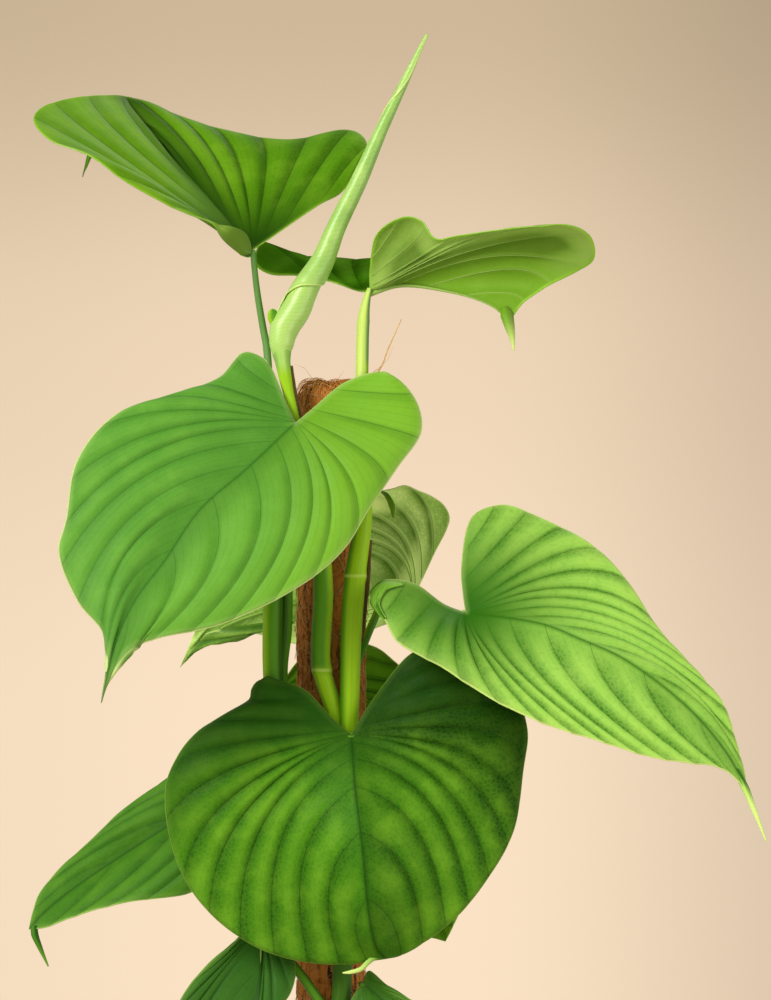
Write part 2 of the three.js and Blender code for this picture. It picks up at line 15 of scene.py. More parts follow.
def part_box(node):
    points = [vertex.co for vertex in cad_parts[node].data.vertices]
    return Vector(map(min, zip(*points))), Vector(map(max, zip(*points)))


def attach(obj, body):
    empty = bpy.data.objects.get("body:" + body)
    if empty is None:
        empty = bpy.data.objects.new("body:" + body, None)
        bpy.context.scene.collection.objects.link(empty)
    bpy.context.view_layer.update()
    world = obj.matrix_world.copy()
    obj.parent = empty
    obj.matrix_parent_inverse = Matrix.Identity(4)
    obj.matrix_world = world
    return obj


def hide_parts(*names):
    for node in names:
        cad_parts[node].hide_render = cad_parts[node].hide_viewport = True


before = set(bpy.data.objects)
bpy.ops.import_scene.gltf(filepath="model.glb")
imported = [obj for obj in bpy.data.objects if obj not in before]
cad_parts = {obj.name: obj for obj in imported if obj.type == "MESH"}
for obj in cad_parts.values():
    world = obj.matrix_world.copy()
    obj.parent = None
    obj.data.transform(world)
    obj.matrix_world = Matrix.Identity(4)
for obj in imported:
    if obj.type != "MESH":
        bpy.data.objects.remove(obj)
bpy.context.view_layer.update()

bl_info = {
    "name": "Potted philodendron",
    "version": (1, 0, 0),
    "blender": (4, 5, 0),
    "location": "3D View > Sidebar > Plant",
    "description": "Models a climbing philodendron with pleated leaves on a coir pole",
    "category": "Add Mesh",
}

MM = 0.001
BODY = "root"
SEED = 11

# The leaves are drawn as seen from here, in millimetres
EYE_X = 38
EYE_DISTANCE = 2200
EYE_Z = 650
VIEW_HEIGHT = 700
FILM_HEIGHT = 36

# How veins leave the lobe and the midrib, bulge outwards and sweep to the outer margin. A leaf can say
# otherwise for those in VEINS.
LOBE_SHARE = 0.45
LOBE_POWER = 3
END_POWER = 1.3
BULGE_AT_JOINT = 0.85
VEINS = {"start_power": 2, "joint_end": 0.52, "lobe_end_power": 1.25, "joint_abreast": 0.22,
         "forward": 0.45, "tip_bulge": 0.5}

# Pleats: full from this share of the veins on and for veins of this length in mm, smooth up to this share
# of a vein, sharpened by a power, with a weak second fold, and gone at the tip
PLEATS_FROM = 0.12
FULL_VEIN = 60
SMOOTH_START = 0.28
CREST_POWER = 0.8
SECOND_FOLD = 0.16
TIP_FADE = (0.84, 0.985)

# Every so many points of the midrib and the margin are used to measure how far they are
MIDRIB_STRIDE = 4
MARGIN_STRIDE = 6

# Midrib under a blade: its radius at the joint as a share of the stalk's, the most that this can be, and
# what is left of it at the tip, in mm
RIB_SHARE = 0.72
RIB_START_LIMIT = 2.6
RIB_END = 0.3

# Leaves
# Each point is [across, depth, height] in millimetres: where it is seen from the eye in the pole's
# plane, and how far it lies behind that plane. The margins run from the joint round a lobe to the
# tip, and lobes says how many points of each lie on the lobe's inner edge.
LEAVES = [
    {
        "name": "leaf_a", "tone": "olive", "slot": "leaf", "faces": (0, -0.6, 0.8), "pleats": 11,
        "pleat_depth": 2.2, "cup": (5, 5), "lobes": (2, 4), "forward": 0.7, "joint": (-55, -20, 825),
        "tip": (-174, 84, 876),
        "midrib": [(-82, 2, 857), (-118, 34, 897), (-136, 52, 918), (-146, 62, 931), (-154, 74, 928),
            (-168, 84, 900)],
        "left": [(-57, -28, 820), (-64, -40, 822), (-75, -54, 832), (-84, -62, 843), (-103, -74, 850),
            (-139, -84, 868), (-169, -84, 889), (-198, -70, 901), (-209, -40, 915), (-200, -8, 925),
            (-172, 30, 931.5), (-157, 52, 932), (-145, 64, 932), (-146, 74, 930), (-160, 84, 910)],
        "right": [(-43, -24, 833), (-8, -14, 857), (7, -4, 865), (20, 16, 885), (25, 34, 899),
            (13, 50, 908), (-30, 62, 901), (-71, 70, 907), (-106, 72, 917.5), (-130, 68, 928),
            (-148, 66, 932), (-154, 76, 930), (-166, 86, 905)],
        "stalk": [(-55, -19, 825), (-52, -14, 797), (-48, -11, 772), (-45, -12, 755), (-42.5, -24, 690),
            (-40.6, -35, 600), (-40.8, -36, 530), (-37, -35, 490), (-22, -34, 450), (6, -33, 406)],
        "radii": [2.0, 2.8, 5.0, 7.0, 7.0, 5.2],
    },
    {
        "name": "leaf_b", "tone": "shaded", "slot": "leaf_pale", "faces": (0, 0.5, 0.8), "pleats": 10,
        "pleat_depth": 1.8, "cup": (4, 5), "lobes": (5, 2), "joint": (27, -20, 796), "tip": (125, -63, 775),
        "midrib": [(48, -22, 801), (83, -36, 796), (106, -50, 789), (116, -57, 783.5)],
        "left": [(20, -8, 796), (-1, 14, 803), (-23, 30, 807), (-43, 44, 808), (-53, 58, 815),
            (-48, 78, 830), (-37, 90, 824), (-14, 104, 819), (25, 116, 817), (70, 110, 817), (118, 84, 817),
            (150, 40, 816), (157, 0, 810), (143, -36, 797), (131, -54, 786)],
        "right": [(27, -22, 812), (32, -34, 836), (51, -46, 848), (63, -52, 845), (72, -58, 833),
            (90, -70, 835), (116, -84, 838), (141, -92, 840), (167, -90, 841), (182, -78, 833),
            (184, -68, 818), (173, -64, 810), (148, -62, 798), (134, -62, 788)],
        "stalk": [(27, -22, 798), (25.2, -23, 792), (22.8, -24, 778), (21.6, -27, 742), (21.5, -33, 690),
            (23, -36, 643), (17, -38, 597), (14, -39, 556), (13, -40, 510), (12, -38, 480), (10, -33, 450)],
        "radii": [1.8, 4.4, 4.5, 4.5, 4.6, 4.8, 5.2, 6.0, 6.9, 7.6, 7.5, 7.1, 6.8, 6.6, 6.4, 6.2],
        "drip": [(121.5, -60.5, 785), (123, -63, 779.5), (125, -65, 771), (126.8, -66, 763),
            (127.8, -67, 754.5)],
        "drip_radii": [2.4, 4.6, 3.4, 1.9, 0.5],
    },
    {
        "name": "leaf_c", "tone": "fresh", "slot": "leaf", "faces": (0, -1, 0.4), "pleats": 12,
        "pleat_depth": 2.0, "cup": (7, 7), "lobes": (2, 3), "joint": (-25, -60, 704),
        "tip": (-161, -150, 508),
        "midrib": [(-60, -80, 671), (-92, -92, 643), (-116, -104, 608), (-137, -116, 580),
            (-151, -130, 549)],
        "left": [(-32, -48, 719), (-45, -35, 746), (-61, -32, 753), (-78, -38, 735), (-107, -50, 724),
            (-154, -75, 707), (-179, -90, 676), (-186, -98, 637), (-191, -102, 614), (-177, -112, 578),
            (-159, -122, 556), (-157, -134, 539)],
        "right": [(-13, -50, 714), (11, -38, 733), (37, -35, 739), (57, -42, 723), (63, -52, 698),
            (46, -62, 672), (27, -76, 644), (8, -90, 614), (-25, -105, 587), (-78, -118, 562),
            (-123, -126, 552), (-141, -130, 544), (-158, -143, 519)],
        "stalk": [(-25, -60, 703), (-29, -48, 690), (-30.5, -36, 650), (-31, -28, 600), (-32, -26, 560),
            (-35, -24, 527), (-29, -25, 497), (-18, -27, 462), (6, -33, 425)],
        "radii": [2.6, 3.6, 4.6, 4.8, 4.6],
    },
    {
        "name": "leaf_d", "tone": "deep", "slot": "leaf_dark", "faces": (0, -1, 0.2), "pleats": 12,
        "pleat_depth": 3.2, "cup": (10, 10), "lobes": (3, 4), "start_power": 2.6, "tip_bulge": 0.2,
        "joint": (14, -57, 486), "tip": (38, -66, 329),
        "midrib": [(17, -84, 447), (22, -100, 405), (26, -98, 363), (31, -83, 338)],
        "left": [(1, -56, 497), (-20, -50, 518), (-43, -46, 524), (-51.5, -47, 523), (-55.5, -47, 517),
            (-56.5, -48, 511), (-63, -49, 505.5), (-77, -52, 497.5), (-94, -56, 486.5), (-107, -59, 471),
            (-116, -62, 447), (-108, -66, 397), (-86, -68, 362), (-50, -66, 336), (-17, -62, 327),
            (12, -62, 326), (28, -64, 328)],
        "right": [(23, -56, 501), (34, -50, 517), (54, -45, 541), (66, -43, 546), (97, -43, 541),
            (125, -47, 520), (137, -52, 489), (134, -56, 460), (127, -62, 417), (108, -66, 383),
            (84, -68, 355), (49, -66, 332)],
        "stalk": [(14, -56, 486), (15, -51, 470), (14, -48, 440), (8, -33, 398)],
        "radii": [3.4, 4.6],
        "drip": [(42, -66, 331), (31, -67, 330), (25.6, -67, 326.3), (21, -66, 321.8), (14, -64, 319.6),
            (8, -63, 319)],
        "drip_radii": [1.2, 1.9, 1.8, 1.7, 1.4, 0.5],
    },
    {
        "name": "leaf_e", "tone": "lime", "slot": "leaf_lime", "faces": (0, -0.8, 0.6), "pleats": 14,
        "pleat_depth": 2.8, "cup": (6, 8), "lobes": (3, 4), "joint": (94, -50, 571),
        "tip": (291, -127, 446),
        "midrib": [(148, -78, 563), (173, -88, 553), (204, -98, 539), (248, -111, 506), (275, -119, 475),
            (285, -123, 458)],
        "left": [(92, -46, 585), (91, -38, 603), (99, -20, 638), (120, -14, 646), (148, -16, 636),
            (182, -24, 618), (206, -38, 594), (231, -60, 556), (262, -86, 522), (276, -98, 504),
            (284, -109, 478), (289, -118, 458)],
        "right": [(79, -50, 577), (57, -50, 592), (35, -52, 593), (27, -58, 581), (36, -68, 568),
            (46, -78, 550), (76, -92, 532), (112, -108, 509), (148, -120, 492), (182, -128, 481),
            (222, -134, 469), (248, -135, 465), (270, -133, 462), (282, -129, 455)],
        "stalk": [(94, -48, 571), (72, -36, 548), (45, -31, 517), (30, -31, 478), (20, -32, 448),
            (9, -33, 418)],
        "radii": [3.0, 4.6],
        "drip": [(283, -122, 461), (290, -127, 448), (296, -133, 433), (304.5, -140, 411)],
        "drip_radii": [2.2, 2.6, 1.8, 0.5],
    },
    {
        "name": "leaf_f", "tone": "pale", "slot": "leaf_pale", "faces": (0, 0.7, 0.7), "pleats": 10,
        "pleat_depth": 2.2, "cup": (5, 5), "lobes": (2, 4), "joint_end": 0.62, "lobe_end_power": 1,
        "joint_abreast": 0.08, "forward": 0.08, "joint": (56.7, 50, 580), "tip": (-105.7, 114, 533),
        "midrib": [(27, 58, 585.6), (-8, 72, 581.4), (-48, 90, 571.6), (-81, 104, 557.6)],
        "left": [(60, 53, 574), (58, 56, 566), (50, 60, 561), (43, 62, 563.5), (36, 64, 566),
            (28, 68, 561.5), (20, 72, 556.5), (6, 78, 551), (-22, 88, 548.5), (-48, 96, 554.8),
            (-67, 100, 557), (-83, 104, 558.3), (-90, 107, 555.5), (-96, 110, 548)],
        "right": [(62, 49, 590.5), (73.5, 46, 615), (80.5, 42, 629), (82.6, 40, 638), (78.4, 38, 646.5),
            (69.3, 37, 652.8), (59, 37, 657), (51, 38, 660), (43, 40, 657.7), (33, 43, 655.6), (6, 52, 650),
            (-22, 62, 636), (-50, 76, 615), (-74, 90, 590.5), (-92, 102, 566), (-100, 109, 547)],
        "stalk": [(56.7, 49, 580), (44, 38, 578), (34, 18, 574), (30, -4, 566), (24, -20, 552),
            (18, -25.5, 535), (15, -25.5, 500), (11, -28, 460), (7, -33, 430)],
        "radii": [2.4, 3.0, 3.2],
        "drip": [(35, 40, 656), (39, 34, 653), (42.5, 32, 646), (43.5, 32, 637.5)],
        "drip_radii": [0.8, 1.9, 2.3, 0.6],
    },
    {
        "name": "leaf_h", "tone": "middle", "slot": "leaf", "faces": (-0.3, -0.7, 0.8), "pleats": 10,
        "pleat_depth": 1.8, "cup": (5, 5), "lobes": (1, 3), "joint": (-40, 0, 471),
        "tip": (-211.5, -47, 349.5),
        "midrib": [(-90, -4, 437), (-140, -16, 405), (-180, -30, 378), (-201, -41, 361)],
        "left": [(-39, -8, 458), (-38, -20, 438), (-46, -34, 412), (-60, -42, 395), (-80, -47, 383),
            (-100, -50, 374), (-138, -54, 368.5), (-162, -54, 363), (-180, -52, 357.5), (-200, -49, 350.5)],
        "right": [(-34, 16, 490), (-29, 34, 515), (-34, 42, 526), (-48, 46, 519), (-62, 44, 504),
            (-90, 36, 475), (-115, 26, 451), (-149, 8, 429), (-171, -6, 408), (-191, -18, 390),
            (-204, -28, 374), (-209, -38, 360.5)],
        "stalk": [(-40, -1, 470), (-36, -14, 452), (-30, -30, 425), (-12, -33, 395), (6, -33, 368)],
        "radii": [2.8, 4.4],
        "drip": [(-208, -47, 352), (-207.5, -48, 346), (-204, -49, 337), (-198, -51, 323.5)],
        "drip_radii": [2.4, 2.6, 1.8, 0.5],
    },
    {
        "name": "leaf_i", "tone": "dusk", "slot": "leaf_dark", "faces": (-0.3, -1, 0.3), "pleats": 9,
        "pleat_depth": 1.8, "cup": (4, 4), "lobes": (2, 2), "joint": (-48, -30, 352),
        "tip": (-84, -92, 165),
        "midrib": [(-49, -44, 325), (-55, -58, 290), (-64, -72, 250), (-75, -86, 205)],
        "left": [(-40, -32, 352), (-31, -36, 344), (-25, -44, 322), (-28, -50, 306), (-40, -58, 288),
            (-52, -68, 262), (-66, -80, 225), (-77, -88, 192)],
        "right": [(-54, -32, 352), (-66, -40, 343), (-88, -52, 324), (-106, -62, 300), (-117, -72, 265),
            (-114, -80, 230), (-99, -86, 202), (-86, -90, 184)],
        "stalk": [(-48, -31, 352), (-42, -32, 344), (-20, -34, 316), (5, -34, 280)],
        "radii": [2.6, 4.0],
    },
    {
        "name": "leaf_j", "tone": "middle", "slot": "leaf", "faces": (0.3, -1, 0.6), "pleats": 9,
        "pleat_depth": 1.8, "cup": (4, 4), "lobes": (1, 2), "joint": (22, -42, 312), "tip": (156, -96, 172),
        "midrib": [(55, -58, 283), (90, -72, 252), (122, -84, 220), (143, -91, 195)],
        "left": [(26, -38, 320), (40, -44, 309), (55, -50, 300), (85, -58, 285), (115, -66, 262),
            (138, -77, 230), (148, -86, 203)],
        "right": [(16, -44, 304), (8, -50, 285), (10, -60, 262), (28, -72, 240), (62, -84, 222),
            (100, -92, 207), (132, -96, 192)],
        "stalk": [(22, -41, 312), (23, -37, 300), (21, -35, 270), (6, -34, 235)],
        "radii": [2.8, 3.8],
    },
    {
        "name": "leaf_l", "tone": "lively", "slot": "leaf_pale", "faces": (0, 1, 0.2), "pleats": 11,
        "pleat_depth": 2.2, "cup": (6, 6), "lobes": (3, 3), "joint": (6, 45, 517), "tip": (80, 34, 341),
        "midrib": [(20, 54, 475), (41, 54, 419), (62, 47, 377), (76, 38, 351)],
        "left": [(10, 48, 538), (15, 50, 550), (33, 54, 546), (46, 54, 536), (76, 50, 510), (101, 44, 468),
            (104, 40, 419), (96, 38, 377), (85, 35, 351)],
        "right": [(-1, 48, 534), (-9, 52, 545), (-22, 54, 538), (-36, 56, 520), (-60, 54, 486),
            (-76, 52, 440), (-66, 48, 391), (-22, 44, 355), (35, 38, 343), (68, 35, 344)],
        "stalk": [(6, 44, 517), (14, 36, 500), (30, 22, 470), (30, -14, 430), (8, -33, 385)],
        "radii": [2.8, 4.2],
    },
]

# How each tone is patterned: the strengths of the painted light on crests and the painted shade in grooves,
# of mottling and net and of the painted glow, the painted shade round the joint, over the lobes, along the
# midrib and at the tip, the margin's width in mm, the emission that paints light through a leaf, and other
# colours
TONES = {
    "olive": {"crest": 0.32, "groove": 0.62, "soft": 0.55, "mottle": 0.25, "margin": 0.8, "joint": 1.0,
        "midrib": 0.9, "shine": 0.04, "groove_width": 0.85, "other": "olive_dim", "other_share": 1.0},
    "fresh": {"crest": 0.2, "groove": 0.34, "mottle": 0.14, "margin": 0.95, "joint": 0.3, "midrib": 0.45,
        "tip": 0.8, "other": "fresh_bright", "other_share": 0.9},
    "deep": {"crest": 0.42, "groove": 0.6, "mottle": 0.3, "margin": 0.7, "joint": 0.65, "lobe": 0.85,
        "midrib": 0.3, "shine": 0.06, "net": 1.2, "groove_width": 0.75, "other": "deep_dim",
        "other_share": 0.95},
    "lime": {"crest": 0.6, "groove": 0.85, "mottle": 0.4, "margin": 0.95, "joint": 1.0, "midrib": 0.25,
        "net": 1.6, "groove_width": 0.9, "shine": 0.08, "other": "lime_low", "other_share": 0.3},
    "middle": {"crest": 0.35, "groove": 0.5, "mottle": 0.3, "margin": 0.8},
    "dusk": {"crest": 0.2, "groove": 0.15, "mottle": 0.2, "margin": 0.7, "joint": 0.3},
    "shaded": {"crest": 0.5, "groove": 0.6, "mottle": 0.3, "margin": 2.2, "shine": 0.0, "rib": "under_rib",
        "joint": 0.8, "through": 0.1, "band": 0.8, "belly": 0.6, "glow": 0.6, "under_veins": 0.22},
    "lively": {"crest": 0.5, "groove": 0.6, "mottle": 0.3, "margin": 0.7, "under": "lively_upper",
        "rib": "lively_upper"},
    "pale": {"crest": 0.8, "groove": 1.0, "mottle": 0.3, "margin": 0.8, "under": "pale_under",
        "rib": "pale_under", "net": 2.4, "net_colour": "pale_under_groove", "through": 0.24, "band": 0.95,
        "belly": 0.45, "groove_width": 0.8},
}
# Sockets of the leaf pattern: the tone's value for each, the usual one, and its shares above and below
TONE_SOCKETS = {
    "Crests": ("crest", 0.5, 1, 1), "Grooves": ("groove", 0.5, 1, 1), "Mottle": ("mottle", 0.3, 1, 1),
    "Groove width": ("groove_width", 0.62, 1, 1), "Margin width": ("margin", 0.8, 1, 1),
    "Net share": ("net", 1, 1, 1), "Lobe shade": ("lobe", 0, 1, 1), "Joint shade": ("joint", 0.4, 1, 0.5),
    "Midrib shade": ("midrib", 0.1, 1, 0), "Tip shade": ("tip", 0, 1, 0), "Soft half": ("soft", 0, 1, 0),
    "Half share": ("other_share", 0, 1, 0), "Lit band": ("band", 0, 0, 1), "Belly shade": ("belly", 0, 0, 1),
    "Glow share": ("glow", 0, 0, 1),
}

# Colours of the tails at the blades' tips: shaded side, body and end
DRIP_TONES = {
    "shaded": ("under", "under_glow", "lime_edge"),
    "deep": ("deep_edge", "lime_upper", "lime_edge"),
    "lime": ("lime_groove", "lime_crest", "lime_edge"),
    "middle": ("middle_groove", "middle_upper", "middle_crest"),
    "pale": ("shaded_upper", "under_glow", "under_glow"),
}

# Colours of a stalk's left side, front and right side, from each height in metres upwards. They paint light
# and shade: a lit side and a shaded side, and whole stretches darker where a stalk stands in shade
STALK_TONES = {
    "": ((0, ("stalk", "stalk_shade", "stalk_shade")),),
    "leaf_a": ((0, ("stalk", "stalk_shade", "stalk_dark")),
               (0.7, ("stalk_cool", "stalk_cool", "stalk_shade"))),
    "leaf_b": ((0, ("stalk_shade", "stalk", "stalk")), (0.598, ("stalk_shade", "stalk", "stalk_bright")),
               (0.7, ("stalk_pale", "stalk_pale", "stalk_bright")),
               (0.745, ("stalk_pale", "stalk_pale", "stalk_cool"))),
    "leaf_c": ((0, ("stalk_dark", "stalk_dark", "stalk_shade")),),
    "leaf_d": ((0, ("stalk_shade", "stalk_shade", "stalk_shade")),),
    "leaf_i": ((0, ("stem", "stalk_shade", "stem")),),
    "leaf_j": ((0, ("stem", "stalk_shade", "stem")),),
    "rolled_leaf": ((0, ("stalk_bright", "stalk", "stalk")),
                    (0.533, ("stalk_bright", "stalk_shade", "stalk_shade")),
                    (0.69, ("stalk", "stalk_bright", "stalk_bright")),
                    (0.74, ("rolled", "rolled_pale", "rolled"))),
}
# Heights of the pale rings on them, in metres
STALK_RINGS = {"leaf_b": 0.598, "rolled_leaf": 0.533}

# What each corner of a blade knows: which vein it is near, how far the veins and edges are, and how
# strongly it is pleated
BLADE_VALUES = ("vein_number", "vein_share", "vein_gap", "midrib_gap", "edge_gap", "joint_gap", "half",
                "pleating")

# Edges that curl forward: where each leaves the blade, its free margin, and how far it bellies out
CURLS = (
    {
        "name": "leaf_a_curl", "node": "leaf_a", "slot": "leaf", "belly": (0, -7, -1.5),
        "foot": [(-81, -59, 841), (-77, -57, 834), (-70, -49, 827), (-62, -37, 821.8), (-56.5, -26, 822.5)],
        "margin": [(-80.5, -61, 843), (-70, -62, 841.5), (-61.5, -53, 838), (-57, -39, 831),
            (-55.8, -27, 824.5)],
        "keys": ("under", "under", "under_rib"),
    },
    {
        "name": "leaf_e_curl", "node": "leaf_e", "slot": "leaf_lime", "belly": (-2, -7, 0.5),
        "foot": [(48, -50.5, 592.6), (35, -52, 593), (28, -55.5, 586), (27.4, -59.5, 578), (31.5, -64, 572),
            (36.5, -69, 566.5)],
        "margin": [(50, -56, 590.5), (40.5, -61, 587.5), (35.4, -66, 582), (34, -69, 577),
            (35.6, -71, 572.5), (38.5, -73, 567.5)],
        # The dark colours of this curl paint the shade of the hollow under it
        "keys": ("lime_groove", "lime_low", "lime_low"),
    },
)

# Main stem: points of its axis and their radii
STEM_AXIS = [(4, -36, 150), (5, -35, 230), (7, -34, 300), (9, -33, 380), (8, -33, 440), (7, -33, 463)]
STEM_RADII = [8, 7.2, 6.8, 6.6, 6.2, 5.6]

# New leaf: points of its axis from the tip down, and their radii. The leaf itself ends at ROLLED_LAST.
ROLLED_AXIS = [(67, -12, 976), (52, -14, 944), (35, -17, 909), (20, -20, 875), (3, -24, 840),
               (-6, -26, 818), (-18, -29, 798), (-25, -30, 783), (-33, -32, 770), (-35, -34, 758),
               (-34, -36, 747), (-30, -38, 725), (-25, -40, 704), (-16, -38, 660), (-7.5, -35, 615),
               (-5.6, -34, 585), (-7, -33, 534), (1.5, -33, 503), (7, -33, 466)]
ROLLED_RADII = [0.7, 2.6, 4.0, 5.4, 6.1, 7.3, 8.9, 9.8, 9.7, 7.9, 5.3, 3.8, 3.6, 5.0, 6.4, 6.8, 6.6,
                6.0, 5.6]
ROLLED_LAST = 10
# Where the free edge of the roll stands: at each height in mm, its turn from the front towards the right
ROLL_EDGE = [(745, -0.46), (772, -0.32), (786, -0.25), (795, -0.06), (804, 0.25), (860, 0.5),
             (916, 0.7), (932, 1.0), (944, 1.12), (976, 1.25)]
ROLL_LAYERS = 1.3
ROLL_STEP = 0.16
# The small curled lobe at its foot
KNOB_AXIS = [(-31, -30, 770), (-36.5, -31, 773.5), (-40.5, -31.5, 779), (-41, -32, 784)]
KNOB_RADIUS = 5.4

# Stem rings, sleeve, threads, soil and pot, in millimetres as in the plain model
STEM_RING_BELOW = 22
SLEEVE_RADIUS = 24.5
THREADS = 2
THREAD_PITCH = 52
DOME = 13
MAT_SIDES = 96
MAT_BELOW = 1.2
SOIL_FOOT_RADIUS = 67
SOIL_DROP = 2.6
POT_FOOT_RADIUS = 72
POT_INNER_TOP = 94
POT_RIM_HEIGHT = 30
POT_RIM_STEP = 4
POT_FLOOR = 10
POT_WALL = 6
DRAIN_COUNT = 4
DRAIN_RADIUS = 6
DRAIN_FROM_AXIS = 42
POT_BEVEL = 1.6
SHARP = math.radians(25)

# Loose things: how many strands rise over the pole's top, how many of the others are light, how many
# fibres fray from a cataphyll, and how many of the soil's crumbs are white grains, of what shape
RISING_STRANDS = 170
LIGHT_SHARE = 0.42
FRAYED_FIBRES = 26
WHITE_SHARE = 0.12
WHITE_SHAPE = (0.7, 0.65, 0.6)

# Loose strands that stand off the pole's top
STRAY_BUNDLE = [[(10, -12, 722), (26, -20, 733), (33, -23, 739), (36, -24.5, 744), (40, -25, 755),
                 (44.5, -26, 765), (49, -26.5, 775)]]
STRAY_STRANDS = [
    [(14, -12, 727), (24, -17, 735), (33, -20, 741), (40, -21, 748), (43, -22, 756)],
    [(2, -10, 731), (5, -13, 734), (7, -15, 737), (9, -16, 740)],
    [(-8, 4, 731), (-14, 10, 736), (-19, 16, 743), (-26, 24, 746)],
]

CATAPHYLLS = {
    "cataphyll_high": [(-27.6, -37, 744), (-25.4, -38, 725), (-20.8, -40, 704), (-16, -39, 682)],
    "cataphyll_middle": [(28, -37, 622), (26.3, -37.5, 604), (24.8, -38, 586), (22, -38.5, 550)],
    "cataphyll_low": [(-2.2, -36, 262), (-3.1, -37, 240), (-3.7, -37, 215), (-4.2, -38, 188)],
}

# Colours of each tone's blades: upper side, grooves, crests and margin; grooves and crests also carry painted
# shade and light
BLADE_COLOURS = {
    "olive": ("the highest leaf", "#60980e", "#1c4002", "#80ae26", "#8cbd30"),
    "fresh": ("the large front leaf", "#54942e", "#2b6416", "#86c44a", "#d3e894"),
    # The dark hanging leaf's colours are partly darkened as painted shade, for the shade it hangs in
    "deep": ("the dark hanging leaf", "#3a7a0e", "#1a430a", "#7cb42c", "#7ba540"),
    "lime": ("the young bright leaf", "#90cc50", "#2f6a10", "#acda5c", "#d8f08a"),
    "middle": ("the low leaves", "#407a18", "#224f0a", "#639a26", "#9bc45c"),
    "shaded": ("the leaves that turn away", "#3f7a06", "#224a06", "#6da22e", "#8cc034"),
    "dusk": ("the lowest leaf", "#33661a", "#1e4a0e", "#4b8226", "#7ba540"),
    "lively": ("the leaf that hangs behind the pole", "#5c9e10", "#1d4404", "#7ab21c", "#9cc850"),
    "pale": ("the leaf behind the pole", "#6a9c2e", "#3f6c18", "#8fbf48", "#b8d878"),
}
BLADE_PARTS = {"upper": "upper side", "groove": "grooves", "crest": "crests", "edge": "margin"}
COLOURS = {f"{tone}_{part}": (code, f"{words} of {whose}")
           for tone, (whose, *codes) in BLADE_COLOURS.items()
           for code, (part, words) in zip(codes, BLADE_PARTS.items())}
COLOURS.update({
    # The next four colours paint a half of a blade that is lit or shaded
    "olive_dim": ("#4a8204", "right half of the highest leaf"),
    "fresh_bright": ("#82bc2a", "brighter half of the large front leaf"),
    "deep_dim": ("#103804", "shaded half of the dark hanging leaf"),
    "lime_low": ("#84be3a", "lower half of the young bright leaf"),
    "under": ("#688a2c", "underside of a leaf"),
    "under_groove": ("#476718", "shaded furrows of the underside"),
    "under_glow": ("#6c9e14", "underside near the tip, lit through"),
    "under_rib": ("#94b454", "ribs of the underside"),
    "pale_under": ("#8cba48", "underside of the leaf behind the pole"),
    "pale_under_groove": ("#3f6a12", "furrows of that underside"),
    "pale_under_rib": ("#d4f08c", "ribs of that underside"),
    # The stalk colours also paint light and shade: stalk_dark and stalk_shade shade, stalk_bright the lit
    # side, stalk_pale partly a highlight
    "stalk": ("#a2d416", "leaf stalk"),
    "stalk_bright": ("#a4d41c", "sunlit side of a leaf stalk"),
    "stalk_cool": ("#6f9c58", "cool groove of a leaf stalk"),
    "stalk_dark": ("#2c5008", "shaded side of a leaf stalk"),
    "stalk_shade": ("#52900a", "groove of a leaf stalk"),
    "stalk_pale": ("#d2ea74", "pale streaks of a leaf stalk"),
    "rolled": ("#8fbf54", "rolled new leaf"),
    "rolled_pale": ("#b8de74", "palest parts of the rolled leaf"),
    "rolled_line": ("#6b9c3a", "veins of the rolled leaf"),
    "stem": ("#3c6a14", "main stem"),
    "stem_scar": ("#64803a", "rings and scars of the main stem"),
    "coir": ("#c67e2e", "matted coir"),
    # Darker fibres, and painted shade in the gaps between them
    "coir_dark": ("#2c1604", "depths of the coir"),
    "coir_light": ("#e4b068", "light strands of coir"),
    "thread": ("#c2a678", "binding thread"),
    "cataphyll": ("#6e5428", "dry cataphyll"),
    "cataphyll_light": ("#b08a58", "light fibres of a cataphyll"),
    "root": ("#8c7a4e", "aerial root"),
    "soil": ("#2c2019", "potting soil"),
    "soil_crumb": ("#51392a", "bark crumbs in the soil"),
    "perlite": ("#e6e0d3", "white grains in the soil"),
    "pot": ("#b5683f", "terracotta"),
    "pot_pale": ("#cf9068", "pale bloom on the terracotta"),
    "pot_dark": ("#8b4a2c", "damp terracotta"),
    "stake": ("#b08a58", "wooden stake"),
    "floor": ("#efe0cb", "floor"),
    # The wall's tones darken upwards: painted shade on the wall
    "wall_low": ("#fbe2c4", "wall behind the plant, lower part"),
    "wall_middle": ("#efd6b8", "wall behind the plant, middle"),
    "wall_high": ("#cdb798", "wall behind the plant, upper part"),
})


def linear(code):
    """Turns a hex code as seen on a screen into a linear colour."""
    channels = [int(code[k:k + 2], 16) / 255 for k in (1, 3, 5)]
    return tuple(c / 12.92 if c <= 0.04045 else ((c + 0.055) / 1.055) ** 2.4 for c in channels)


# Settings

def colour_properties():
    """One colour property for each named colour of the plant, pole, pot and stage."""
    return {key: bpy.props.FloatVectorProperty(
        name=key.replace("_", " ").capitalize(), description="Colour of the " + words,
        subtype="COLOR", size=3, min=0, max=1, default=linear(code))
        for key, (code, words) in COLOURS.items()}


class PlantColours(bpy.types.PropertyGroup):
    """Colours of every finish."""
    __annotations__ = colour_properties()


